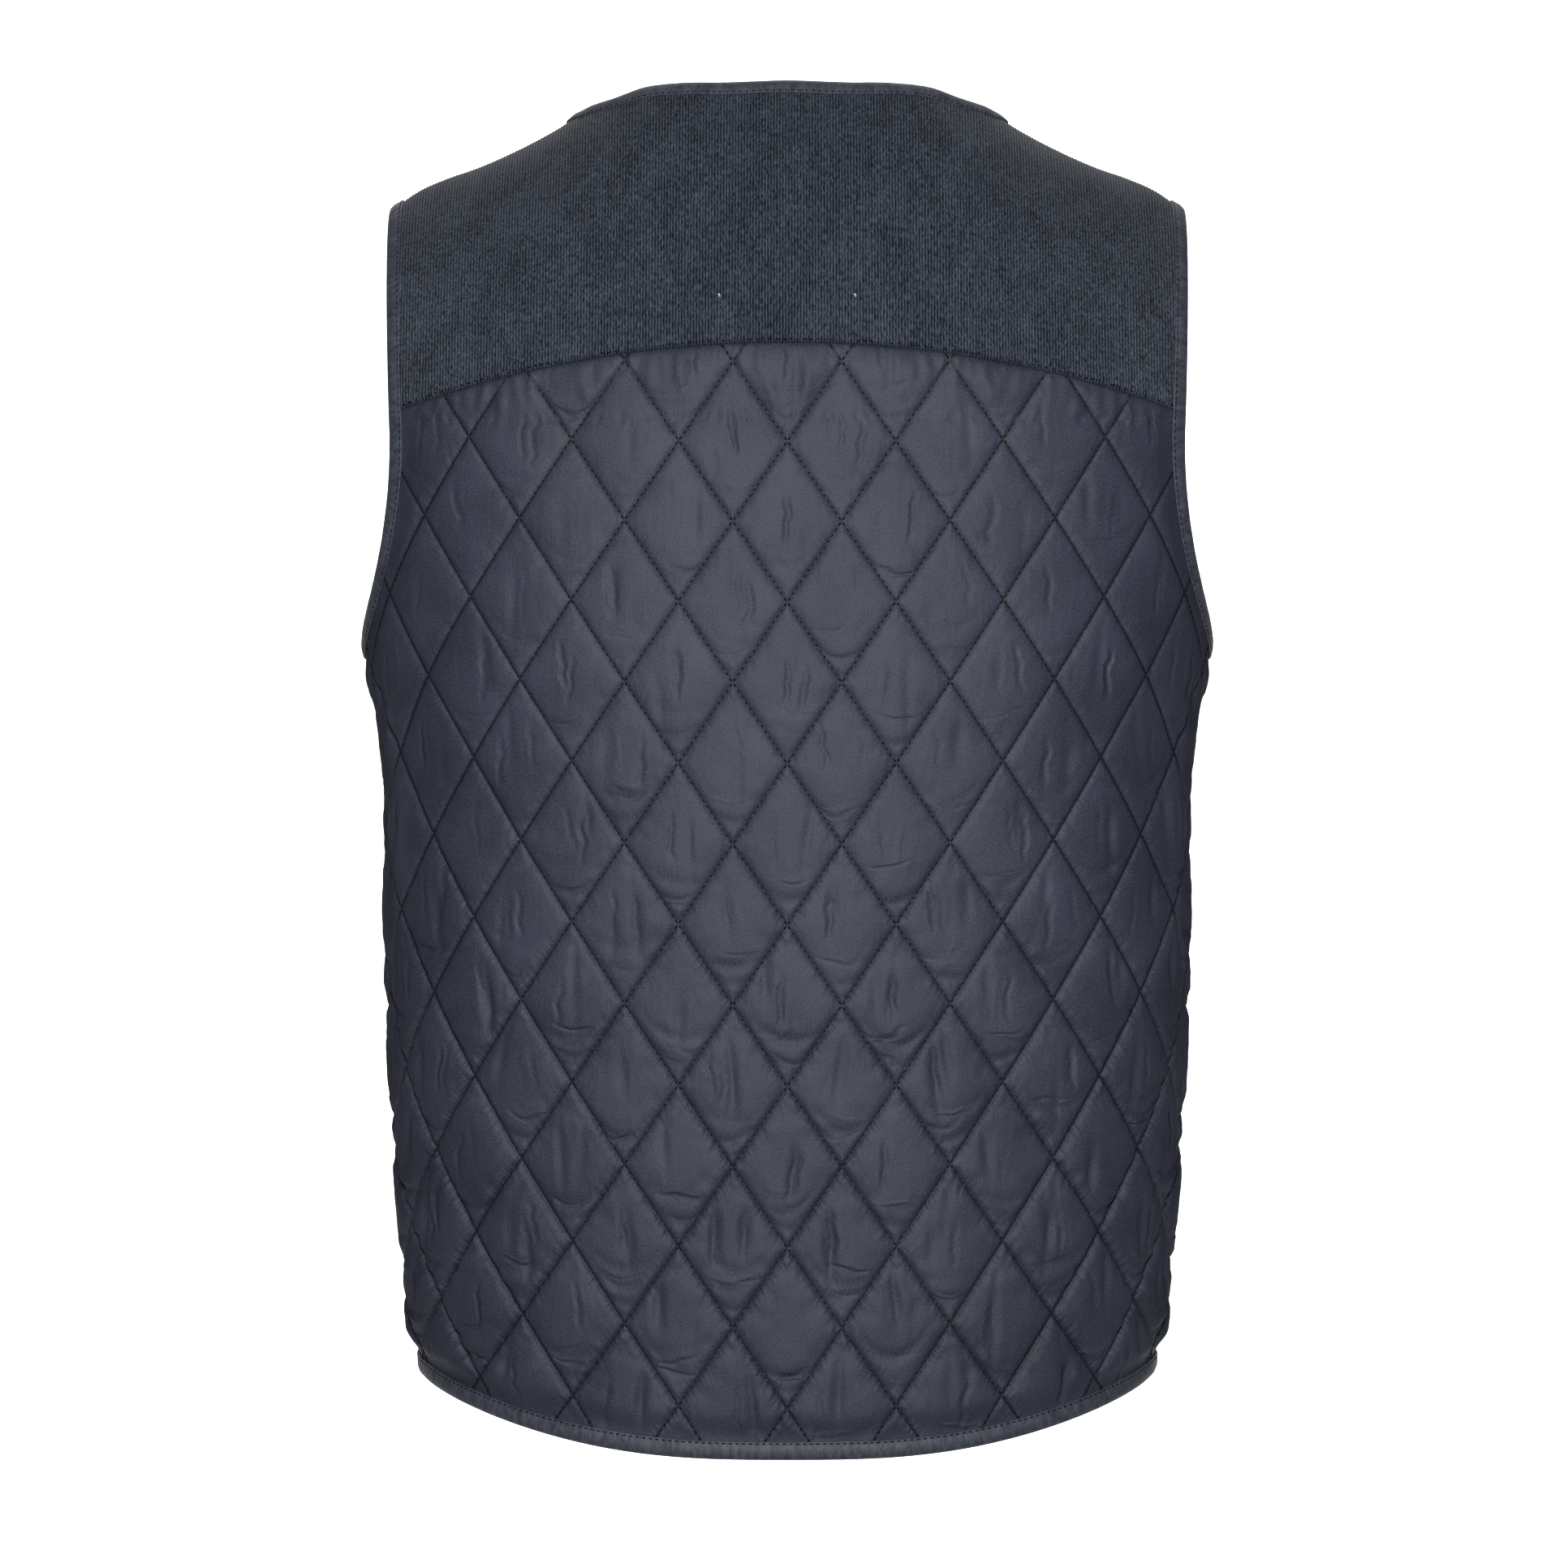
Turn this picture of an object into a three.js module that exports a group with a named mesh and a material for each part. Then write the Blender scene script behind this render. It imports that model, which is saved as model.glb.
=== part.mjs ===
// Quilted vest, worn and filled out, empty inside. Millimetres, +Z up, front towards -Y, wearer's left at +X.
// The origin lies midway between the shoulders, where the wearer holds the vest up.
import * as THREE from 'three';

// Cloth and seams
const wall = 1.8; // cloth at its seams and along the stitching
const puff = 3; // rise of the wadding at the middle of a diamond
const seamGap = 0.3; // between two sewn pieces
const plainEdge = 11; // no wadding this close to a bound edge
const wadRise = 13; // distance over which the wadding reaches its full rise

// Quilting: a quarter of a diamond's width and height, and the height of a crossing on the centre line
const quarterWide = 13.7;
const quarterHigh = 20.3;
const crossingHeight = -152.4;
const denseRows = { above: -5, step: 0.5 }; // rows of the net lie closer on the steep chest
const quiltRows = { back: -3, front: -14, bottom: 27 }; // the net's rows, from above each top seam to below the hem
const quiltColumns = { side: 22, lap: -2 }; // and its columns, to past the side seams and past the lap
const yokeNet = { columns: 19, columnStep: 12.2, rows: 18, turnStep: 0.147 };

// Binding, folded round an edge
const bindingDepth = 9;
const bindingCloth = 0.8;
const bindingCurl = 0.6; // the fold is this much thinner than the rest on either face
const bindingRoom = 0.8; // between the binding and the wall inside it
const edgeSetBack = 2.1; // the wall's edge lies this far inside the binding's fold
const neckSetBack = 3.2; // the same at the neck, whose curve is tighter
const neckCreases = [9.5]; // lines along the neck that keep the yoke round under its binding

// Front opening
const lap = 16; // each front passes the centre line by this much
const plainStand = { from: 14, to: 28 }; // no wadding under the studs, full wadding further out
const lapDrop = 5.4; // the right front lies this far under the left one
const lapBlend = { from: 18, to: 80 }; // where the right front comes back out to the body's surface
const cornerRadius = 15;
const studs = { count: 5, top: -104, pitch: 121, sides: 8 };

// Body: level sections are superellipses up to the blade height, and arches over the shoulders above it
const roundness = 2.3;
const bladeHeight = -135;
const sections = [
  { z: -135, halfWidth: 231, back: 113, front: 104 },
  { z: -200, halfWidth: 224, back: 120, front: 115 },
  { z: -262, halfWidth: 218.5, back: 124, front: 121 },
  { z: -285, halfWidth: 213, back: 124.5, front: 121 },
  { z: -310, halfWidth: 209, back: 124.5, front: 120 },
  { z: -345, halfWidth: 207.2, back: 124, front: 118 },
  { z: -400, halfWidth: 207, back: 123, front: 116 },
  { z: -450, halfWidth: 204.8, back: 122.5, front: 115 },
  { z: -510, halfWidth: 201.2, back: 122, front: 114 },
  { z: -560, halfWidth: 196.5, back: 121.5, front: 114 },
  { z: -600, halfWidth: 193.2, back: 121, front: 114 },
  { z: -640, halfWidth: 189, back: 120.5, front: 114 },
  { z: -690, halfWidth: 185.5, back: 120, front: 114 },
];
const ridge = [
  { x: -80, height: 45 },
  { x: 0, height: 64.3 },
  { x: 80, height: 45 },
  { x: 100, height: 30.5 },
  { x: 107, height: 24.8 },
  { x: 120, height: 16 },
  { x: 140, height: 5.4 },
  { x: 160, height: -3.5 },
  { x: 178, height: -9.8 },
  { x: 192, height: -16 },
  { x: 207, height: -26.5 },
  { x: 240, height: -50 },
];
const belowRidge = 0.97; // the fronts' net stops at this part of the rise to the ridge

// Soft upright folds in the body cloth, a row each, at a distance round from the centre
const folds = [
  { side: 'back', around: 222, top: -285, bottom: -420, rise: 3, spread: 9 },
  { side: 'back', around: 238, top: -330, bottom: -560, rise: -2.2, spread: 10 },
  { side: 'back', around: 150, top: -480, bottom: -600, rise: 1.6, spread: 14 },
  { side: 'front', around: 226, top: -290, bottom: -430, rise: 2.6, spread: 10 },
  { side: 'front', around: 170, top: -400, bottom: -570, rise: 1.8, spread: 14 },
];

// Outlines
const neck = { halfWidth: 107, height: 24.8, backReach: 58, backRoundness: 2.2, frontDrop: 99 };
const armhole = { tip: 207, blade: 203.5, chest: 195, start: -140, bottom: -250 };
const yokeSeam = { centre: -101.6, drop: 30.9, at: 197 };
const shoulderSeam = { atNeck: -34, atTip: -27, above: -90 };
const hem = { side: -628, back: -664, front: -648, shape: 1.65 };
const rowLift = [
  { z: -700, lift: 15 },
  { z: -650, lift: 13 },
  { z: -590, lift: 7 },
  { z: -450, lift: 4 },
  { z: -150, lift: 4 },
];
const rowLiftAt = 163; // distance round at which rowLift is read

// How many stations a binding has along each stretch, and where the stretches meet
const stationCounts = {
  underarm: 9, shoulder: 22, chest: 7, frontNeck: 14, corner: 4, opening: 21, frontHem: 15, backHem: 31, backNeck: 38,
  sideNeck: 4,
};
const neckSeam = { turn: 1.93, angle: 1.455 }; // the forward seam at the neck, on the arch and round the front neck
const armSeamTurn = 2.2; // just past the forward seam at the armhole
const backNeckAngle = 3.05; // almost half a turn either way round the back neck
const pastRidge = 0.04; // turn from the ridge to the first station on the side neck

const clamp = THREE.MathUtils.clamp;
const blend = (value, from, to) => {
  const t = clamp((value - from) / (to - from), 0, 1);
  return t * t * (3 - 2 * t);
};

// Smooth curve through one column of a table whose rows are in order of another column
function curveThrough(table, key, column) {
  const rows = [...table].sort((a, b) => a[key] - b[key]);
  const slope = (i, j) => (rows[j][column] - rows[i][column]) / (rows[j][key] - rows[i][key]);
  const last = rows.length - 1;
  return (at) => {
    const place = clamp(at, rows[0][key], rows[last][key]);
    let i = 0;
    while (i < last - 1 && place > rows[i + 1][key]) i += 1;
    const step = rows[i + 1][key] - rows[i][key];
    const t = (place - rows[i][key]) / step;
    const slopeIn = slope(Math.max(i - 1, 0), i + 1) * step;
    const slopeOut = slope(i, Math.min(i + 2, last)) * step;
    const start = rows[i][column];
    const end = rows[i + 1][column];
    const smooth = t * t * (3 - 2 * t);
    return start + (end - start) * smooth + t * (1 - t) * ((1 - t) * slopeIn - t * slopeOut);
  };
}

const halfWidthAt = curveThrough(sections, 'z', 'halfWidth');
const depthAt = { back: curveThrough(sections, 'z', 'back'), front: curveThrough(sections, 'z', 'front') };
const ridgeHeight = curveThrough(ridge, 'x', 'height');
const rowLiftOf = curveThrough(rowLift, 'z', 'lift');

// Quarter of a level section: distance round from the centre, turned into a place
const quarterSteps = 90;
const quarters = new Map();
function quarterSection(side, z) {
  const key = `${side}${z}`;
  if (quarters.has(key)) return quarters.get(key);
  const halfWidth = halfWidthAt(z);
  const depth = depthAt[side](z);
  const at = (angle) => ({
    x: halfWidth * Math.max(Math.sin(angle), 0) ** (2 / roundness),
    y: depth * Math.max(Math.cos(angle), 0) ** (2 / roundness),
  });
  const lengths = [0];
  let before = at(0);
  for (let i = 1; i <= quarterSteps; i += 1) {
    const here = at((Math.PI / 2) * (i / quarterSteps));
    lengths.push(lengths[i - 1] + Math.hypot(here.x - before.x, here.y - before.y));
    before = here;
  }
  const made = { at, lengths, length: lengths[quarterSteps] };
  quarters.set(key, made);
  return made;
}

function sectionPlace(side, z, around) {
  const section = quarterSection(side, z);
  const distance = Math.abs(around);
  const past = distance > section.length;
  const within = past ? 2 * section.length - distance : distance;
  let i = 0;
  while (i < quarterSteps - 1 && section.lengths[i + 1] < within) i += 1;
  const part = (within - section.lengths[i]) / (section.lengths[i + 1] - section.lengths[i]);
  const place = section.at((Math.PI / 2) * ((i + part) / quarterSteps));
  return { x: place.x * Math.sign(around), y: place.y * (past ? -1 : 1) };
}

// Half depth of the body at blade height, a distance x to the side
function bladeDepth(side, x) {
  const inside = Math.max(1 - (Math.abs(x) / halfWidthAt(bladeHeight)) ** roundness, 0);
  return depthAt[side](bladeHeight) * inside ** (1 / roundness);
}

// Arch over the shoulder: turn is 0 at the back's blade height, a right angle on the ridge
function archPlace(x, turn) {
  const side = turn < Math.PI / 2 ? 'back' : 'front';
  const rise = ridgeHeight(Math.abs(x)) - bladeHeight;
  return new THREE.Vector3(x, bladeDepth(side, x) * Math.cos(turn), bladeHeight + rise * Math.sin(turn));
}

function foldRise(side, around, z) {
  let rise = 0;
  for (const fold of folds.filter((row) => row.side === side)) {
    const across = (Math.abs(around) - fold.around) / fold.spread;
    const along = clamp((fold.top - z) / (fold.top - fold.bottom), 0, 1);
    rise += fold.rise * Math.exp(-across * across) * Math.sin(Math.PI * along) ** 2;
  }
  return rise;
}

// Place on the body from a distance round and a height, for the cloth below the shoulders
function bodyPlace(side, around, z) {
  const facing = side === 'back' ? 1 : -1;
  if (z > bladeHeight) {
    const { x } = sectionPlace(side, bladeHeight, around);
    const rise = ridgeHeight(Math.abs(x)) - bladeHeight;
    const sine = clamp((z - bladeHeight) / rise, 0, 1);
    const turn = side === 'back' ? Math.asin(sine) : Math.PI - Math.asin(sine);
    return archPlace(x, turn);
  }
  const { x, y } = sectionPlace(side, z, around);
  return new THREE.Vector3(x, facing * y, z);
}

const probe = 0.4;

// A surface is a place function of two coordinates; this gives its two slopes and outward normal
function surfaceFrame(surface, u, v) {
  const alongU = surface.place(u + surface.unit.u * probe, v)
    .sub(surface.place(u - surface.unit.u * probe, v)).divideScalar(2 * surface.unit.u * probe);
  const alongV = surface.place(u, v + surface.unit.v * probe)
    .sub(surface.place(u, v - surface.unit.v * probe)).divideScalar(2 * surface.unit.v * probe);
  const normal = alongU.clone().cross(alongV).normalize().multiplyScalar(surface.facing);
  return { alongU, alongV, normal };
}

function lifted(surface, u, v, height) {
  const { normal } = surfaceFrame(surface, u, v);
  return surface.place(u, v).addScaledVector(normal, height + surface.lift(u, v));
}

// Real distance on the cloth to the line where f is zero
function clothDistance(surface, f) {
  return (u, v) => {
    const { alongU, alongV } = surfaceFrame(surface, u, v);
    const stepU = surface.unit.u * probe;
    const stepV = surface.unit.v * probe;
    const slopeU = (f(u + stepU, v) - f(u - stepU, v)) / (2 * stepU);
    const slopeV = (f(u, v + stepV) - f(u, v - stepV)) / (2 * stepV);
    const uu = alongU.dot(alongU);
    const uv = alongU.dot(alongV);
    const vv = alongV.dot(alongV);
    const steepness = (slopeU * slopeU * vv - 2 * slopeU * slopeV * uv + slopeV * slopeV * uu) / (uu * vv - uv * uv);
    return f(u, v) / Math.sqrt(steepness);
  };
}

// The four surfaces that the panels lie on
const none = () => 0;
const yokeSurface = { place: archPlace, facing: -1, unit: { u: 1, v: 0.01 }, lift: none };
const backSurface = {
  place: (around, z) => bodyPlace('back', around, z),
  facing: -1,
  unit: { u: 1, v: 1 },
  lift: (around, z) => foldRise('back', around, z),
};
const leftSurface = {
  place: (around, z) => bodyPlace('front', around, z),
  facing: 1,
  unit: { u: 1, v: 1 },
  lift: (around, z) => foldRise('front', around, z),
};
// The right front is the left one mirrored, and dropped under it along the lap
const rightSurface = {
  place: (around, z) => bodyPlace('front', -around, z),
  facing: -1,
  unit: { u: 1, v: 1 },
  lift: (around, z) => foldRise('front', around, z) - lapDrop * (1 - blend(around, lapBlend.from, lapBlend.to)),
};

// Edges of the pieces: zero on the edge and positive in the cloth
const sideLength = (side, z) => quarterSection(side, Math.min(z, bladeHeight)).length;
const hemHeight = (side, around) => {
  const part = blend(Math.abs(around), 0, sideLength(side, hem.side));
  return hem[side] + (hem.side - hem[side]) * part ** hem.shape;
};
const aroundOf = (side, x) => {
  const section = quarterSection(side, bladeHeight);
  const angle = Math.asin((x / halfWidthAt(bladeHeight)) ** (roundness / 2));
  const step = (angle / (Math.PI / 2)) * quarterSteps;
  const i = Math.floor(step);
  return section.lengths[i] + (section.lengths[i + 1] - section.lengths[i]) * (step - i);
};
const armholeStart = { back: aroundOf('back', armhole.blade), front: aroundOf('front', armhole.chest) };

// On the arch the armhole moves from the blade, over the tip, to the chest
function armholeX(turn) {
  const end = turn < Math.PI / 2 ? armhole.blade : armhole.chest;
  return end + (armhole.tip - end) * Math.sin(turn);
}

const wellInside = 1.6; // in armhole reaches from the side seam, where only the sign still matters

function armholeEdge(side) {
  return (around, z) => {
    if (z >= armhole.start) {
      const x = Math.abs(bodyPlace(side, around, z).x);
      const rise = ridgeHeight(x) - bladeHeight;
      const turn = Math.asin(clamp((z - bladeHeight) / rise, 0, 1));
      return armholeX(side === 'back' ? turn : Math.PI - turn) - x;
    }
    const reach = sideLength(side, armhole.bottom) - armholeStart[side];
    const across = (sideLength(side, armhole.bottom) - Math.abs(around)) / reach;
    const down = (armhole.start - z) / (armhole.start - armhole.bottom);
    return (Math.hypot(Math.min(across, wellInside), down) - 1) * reach;
  };
}

const neckFront = (x, z) => (Math.hypot(x / neck.halfWidth, Math.min(z - neck.height, 0) / neck.frontDrop) - 1)
  * neck.halfWidth;
const neckBack = (x, y) => {
  const across = (Math.abs(x) / neck.halfWidth) ** neck.backRoundness;
  const behind = (Math.max(y, 0) / neck.backReach) ** neck.backRoundness;
  return ((across + behind) ** (1 / neck.backRoundness) - 1) * neck.halfWidth;
};
const neckOnArch = (x, turn) => {
  const place = archPlace(x, turn);
  return turn < Math.PI / 2 ? neckBack(x, place.y) : neckFront(x, place.z);
};
const shoulderSeamY = (x) => {
  const part = (Math.abs(x) - neck.halfWidth) / (armhole.tip - neck.halfWidth);
  return shoulderSeam.atNeck + (shoulderSeam.atTip - shoulderSeam.atNeck) * part;
};
const yokeSeamHeight = (x) => yokeSeam.centre - yokeSeam.drop * (x / yokeSeam.at) ** 2;

// Where a front's straight edge meets the hem the corner is rounded, and the neck corner too
const neckCornerHeight = neck.height - neck.frontDrop * Math.sqrt(1 - (cornerRadius / neck.halfWidth) ** 2);
const hemCorner = { around: cornerRadius - lap, z: hemHeight('front', 0) + cornerRadius };
const neckCorner = { around: cornerRadius - lap, z: neckCornerHeight - cornerRadius - 1 };
function frontEdge(around, z) {
  const { x } = bodyPlace('front', around, z);
  const hemSide = z - hemHeight('front', around);
  const open = Math.min(around + lap, neckFront(x, z), hemSide);
  if (around > hemCorner.around) return open;
  const toHem = cornerRadius - Math.hypot(around - hemCorner.around, z - hemCorner.z);
  const toNeck = cornerRadius - Math.hypot(around - neckCorner.around, z - neckCorner.z);
  if (z < hemCorner.z) return toHem;
  return z > neckCorner.z ? toNeck : open;
}

const neckOrHem = (around, z) => {
  const { x } = bodyPlace('front', around, z);
  return Math.min(neckFront(x, z), z - hemHeight('front', around));
};

// A skin is a flat net of points and triangles in a surface's two coordinates
function latticeSkin(columns, rows, pointAt) {
  const points = [];
  const index = new Map();
  for (let j = rows.from; j <= rows.to; j += 1) {
    for (let k = columns.from; k <= columns.to; k += 1) {
      index.set(`${k},${j}`, points.length);
      points.push(pointAt(k, j));
    }
  }
  const triangles = [];
  for (let j = rows.from; j < rows.to; j += 1) {
    for (let k = columns.from; k < columns.to; k += 1) {
      const near = index.get(`${k},${j}`);
      const right = index.get(`${k + 1},${j}`);
      const below = index.get(`${k},${j + 1}`);
      const across = index.get(`${k + 1},${j + 1}`);
      if ((k - j) % 2 === 0) triangles.push([near, below, across], [near, across, right]);
      else triangles.push([near, below, right], [right, below, across]);
    }
  }
  return { points, triangles };
}

// Moves the points that almost touch the line distance = 0 onto it, and cuts the net along it.
// keepBoth leaves the far side too, so the line is only a crease.
function cutSkin(skin, distance, unit, keepBoth = false) {
  const nearness = 5;
  const fixedNearness = 0.05;
  const leastPart = 0.01;
  const moved = skin.points.map((point) => {
    let away = distance(point.u, point.v);
    if (Math.abs(away) > (point.fixed ? fixedNearness : nearness)) return { ...point, away };
    let { u, v } = point;
    for (let turn = 0; turn < 3; turn += 1) {
      const slopeU = (distance(u + unit.u * probe, v) - distance(u - unit.u * probe, v)) / (2 * probe);
      const slopeV = (distance(u, v + unit.v * probe) - distance(u, v - unit.v * probe)) / (2 * probe);
      const size = slopeU * slopeU + slopeV * slopeV;
      u -= (away * slopeU * unit.u) / size;
      v -= (away * slopeV * unit.v) / size;
      away = distance(u, v);
    }
    return { ...point, u, v, fixed: true, away: 0 };
  });
  const between = new Map();
  const crossing = (a, b) => {
    const key = a < b ? `${a},${b}` : `${b},${a}`;
    if (!between.has(key)) {
      const one = moved[Math.min(a, b)];
      const two = moved[Math.max(a, b)];
      let part = one.away / (one.away - two.away);
      for (let turn = 0; turn < 3; turn += 1) {
        const miss = distance(one.u + (two.u - one.u) * part, one.v + (two.v - one.v) * part);
        part = clamp(part + miss / (one.away - two.away), leastPart, 1 - leastPart);
      }
      const mix = (name) => one[name] + (two[name] - one[name]) * part;
      between.set(key, moved.length);
      moved.push({ u: mix('u'), v: mix('v'), column: mix('column'), row: mix('row'), fixed: true, away: 0 });
    }
    return between.get(key);
  };
  const triangles = [];
  const keepSide = (corners, sign) => {
    const shape = [];
    corners.forEach((here, i) => {
      const next = corners[(i + 1) % 3];
      const a = moved[here].away * sign;
      const b = moved[next].away * sign;
      if (a >= 0) shape.push(here);
      if (a * b < 0) shape.push(crossing(here, next));
    });
    const touches = shape.some((corner) => moved[corner].away * sign > 0);
    for (let i = 1; touches && i < shape.length - 1; i += 1) triangles.push([shape[0], shape[i], shape[i + 1]]);
  };
  for (const corners of skin.triangles) {
    keepSide(corners, 1);
    if (keepBoth) keepSide(corners, -1);
  }
  return { points: moved, triangles };
}

// Closes a net into a wall between an outer and an inner height
function wallSolid(skin, surface, outerHeight) {
  const used = [...new Set(skin.triangles.flat())];
  const order = new Map(used.map((point, i) => [point, i]));
  const corners = [];
  for (const layer of ['outer', 'inner']) {
    for (const point of used) {
      const { u, v } = skin.points[point];
      const height = layer === 'outer' ? outerHeight(skin.points[point]) : 0;
      corners.push(lifted(surface, u, v, height));
    }
  }
  const count = used.length;
  let faces = skin.triangles.map((face) => face.map((point) => order.get(point)));
  const [a, b, c] = faces[0].map((corner) => corners[corner]);
  const facing = b.clone().sub(a).cross(c.clone().sub(a));
  const first = skin.points[used[faces[0][0]]];
  if (facing.dot(surfaceFrame(surface, first.u, first.v).normal) < 0) faces = faces.map(([i, j, k]) => [i, k, j]);
  const edges = new Set(faces.flatMap(([i, j, k]) => [`${i},${j}`, `${j},${k}`, `${k},${i}`]));
  const solid = [];
  for (const [i, j, k] of faces) {
    solid.push(i, j, k, i + count, k + count, j + count);
    for (const [from, to] of [[i, j], [j, k], [k, i]]) {
      if (!edges.has(`${to},${from}`)) solid.push(to, from, from + count, to, from + count, to + count);
    }
  }
  return geometryOf(corners, solid);
}

function geometryOf(corners, faces) {
  const geometry = new THREE.BufferGeometry();
  geometry.setAttribute('position', new THREE.Float32BufferAttribute(corners.flatMap((c) => c.toArray()), 3));
  geometry.setIndex(faces);
  geometry.computeVertexNormals();
  return geometry;
}

// Rise of the wadding from a place in the quilting, in quarters of a diamond
function quiltRise(column, row) {
  const period = 4;
  const acrossLine = (value) => Math.abs((((value % period) + period) % period) / 2 - 1);
  const one = acrossLine(column + row);
  const two = acrossLine(column - row);
  return puff * Math.sqrt((1 - one * one) * (1 - two * two));
}

// Just under the ridge, above every seam of a front or back
function archTop(side, around) {
  const { x } = sectionPlace(side, bladeHeight, around);
  return bladeHeight + belowRidge * (ridgeHeight(Math.abs(x)) - bladeHeight);
}

// A quilted panel: its lattice is cut at its sewn edges and its bound edges
function quiltedPanel(surface, side, columns, sewn, bound, creased) {
  const rows = { from: quiltRows[side], to: quiltRows.bottom };
  let skin = latticeSkin(columns, rows, (column, line) => {
    const row = line < denseRows.above ? denseRows.above + (line - denseRows.above) * denseRows.step : line;
    const u = column * quarterWide;
    const level = crossingHeight - row * quarterHigh;
    const raised = level + rowLiftOf(level) * (u / rowLiftAt) ** 2;
    return { u, v: Math.min(raised, archTop(side, u)), column, row };
  });
  const seams = sewn.map((f) => clothDistance(surface, f));
  const edges = bound.map((f) => clothDistance(surface, f));
  for (const seam of seams) skin = cutSkin(skin, (u, v) => seam(u, v) - seamGap / 2, surface.unit);
  for (const edge of edges) skin = cutSkin(skin, (u, v) => edge(u, v) - edgeSetBack, surface.unit);
  for (const f of creased) {
    const edge = clothDistance(surface, f);
    skin = cutSkin(skin, (u, v) => edge(u, v) - plainEdge, surface.unit, true);
  }
  return wallSolid(skin, surface, ({ u, v, column, row }) => {
    const fromEdge = Math.min(...edges.map((edge) => edge(u, v)));
    const fromSeam = Math.min(...seams.map((seam) => seam(u, v)));
    const stand = side === 'front' ? blend(Math.abs(u), plainStand.from, plainStand.to) : 1;
    const room = stand * blend(fromEdge, plainEdge, plainEdge + wadRise) * blend(fromSeam, 0, wadRise);
    return wall + quiltRise(column, row) * room;
  });
}

function backPanel() {
  const sideSeam = (around, z) => sideLength('back', z) - Math.abs(around);
  const topSeam = (around, z) => yokeSeamHeight(bodyPlace('back', around, z).x) - z;
  const hemEdge = (around, z) => z - hemHeight('back', around);
  const columns = { from: -quiltColumns.side, to: quiltColumns.side };
  const bound = [armholeEdge('back'), hemEdge];
  return quiltedPanel(backSurface, 'back', columns, [topSeam, sideSeam], bound, bound);
}

function frontPanel(surface) {
  const sideSeam = (around, z) => sideLength('front', z) - around;
  const topSeam = (around, z) => {
    const place = bodyPlace('front', around, z);
    const down = place.z - shoulderSeam.above;
    return down > 0 ? shoulderSeamY(place.x) - place.y : -place.y - down;
  };
  const columns = { from: quiltColumns.lap, to: quiltColumns.side };
  return quiltedPanel(surface, 'front', columns, [topSeam, sideSeam], [armholeEdge('front'), frontEdge],
    [armholeEdge('front'), neckOrHem]);
}

function yokePanel() {
  const surface = yokeSurface;
  const columns = { from: -yokeNet.columns, to: yokeNet.columns };
  let skin = latticeSkin(columns, { from: 0, to: yokeNet.rows }, (column, row) => {
    const { x } = sectionPlace('back', bladeHeight, column * yokeNet.columnStep);
    return { u: x, v: row * yokeNet.turnStep, column, row };
  });
  const backSeam = (x, turn) => archPlace(x, turn).z - yokeSeamHeight(x);
  const frontSeam = (x, turn) => archPlace(x, turn).y - shoulderSeamY(x);
  const armEdge = (x, turn) => armholeX(turn) - Math.abs(x);
  for (const [f, inset] of [[backSeam, seamGap / 2], [frontSeam, seamGap / 2], [armEdge, edgeSetBack],
    [neckOnArch, neckSetBack]]) {
    const distance = clothDistance(surface, f);
    skin = cutSkin(skin, (x, turn) => distance(x, turn) - inset, surface.unit);
  }
  const fromNeck = clothDistance(surface, neckOnArch);
  for (const crease of neckCreases) skin = cutSkin(skin, (x, turn) => fromNeck(x, turn) - crease, surface.unit, true);
  return wallSolid(skin, surface, () => wall);
}

// A binding's section: reach is measured from its fold into the cloth, height out from the cloth's inside
const outside = wall + bindingRoom + bindingCloth;
const insideFold = bindingCloth + 0.1;
const bindingSection = [
  { reach: bindingDepth, height: outside },
  { reach: 0, height: outside - bindingCurl },
  { reach: 0, height: bindingCurl - bindingRoom - bindingCloth },
  { reach: bindingDepth, height: -bindingRoom - bindingCloth },
  { reach: bindingDepth, height: -bindingRoom },
  { reach: insideFold, height: -bindingRoom },
  { reach: insideFold, height: wall + bindingRoom },
  { reach: bindingDepth, height: wall + bindingRoom },
];

// Sweeps the section round a closed row of stations, each a surface and a place on it
function closedBinding(stations) {
  const places = stations.map(({ surface, u, v }) => lifted(surface, u, v, 0));
  const corners = [];
  stations.forEach(({ surface, u, v }, i) => {
    const before = places[(i - 1 + places.length) % places.length];
    const after = places[(i + 1) % places.length];
    const along = after.clone().sub(before).normalize();
    const { alongU, alongV, normal } = surfaceFrame(surface, u, v);
    const inward = normal.clone().cross(along).normalize();
    const uu = alongU.dot(alongU);
    const uv = alongU.dot(alongV);
    const vv = alongV.dot(alongV);
    const spread = uu * vv - uv * uv;
    const inU = inward.dot(alongU);
    const inV = inward.dot(alongV);
    const stepU = (inU * vv - inV * uv) / spread;
    const stepV = (inV * uu - inU * uv) / spread;
    for (const { reach, height } of bindingSection) {
      corners.push(lifted(surface, u + stepU * reach, v + stepV * reach, height));
    }
  });
  const ring = bindingSection.length;
  const faces = [];
  stations.forEach((station, i) => {
    const next = (i + 1) % stations.length;
    for (let k = 0; k < ring; k += 1) {
      const a = i * ring + k;
      const b = i * ring + ((k + 1) % ring);
      const c = next * ring + ((k + 1) % ring);
      const d = next * ring + k;
      faces.push(a, b, c, a, c, d);
    }
  });
  return geometryOf(corners, faces);
}

// Where f changes sign between two values, found by halving
function placeWhere(f, low, high) {
  let [from, to] = [low, high];
  const sign = Math.sign(f(from));
  for (let i = 0; i < 40; i += 1) {
    const middle = (from + to) / 2;
    if (Math.sign(f(middle)) === sign) from = middle;
    else to = middle;
  }
  return (from + to) / 2;
}

const steps = (from, to, count) => Array.from({ length: count }, (_, i) => from + ((to - from) * i) / count);

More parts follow.
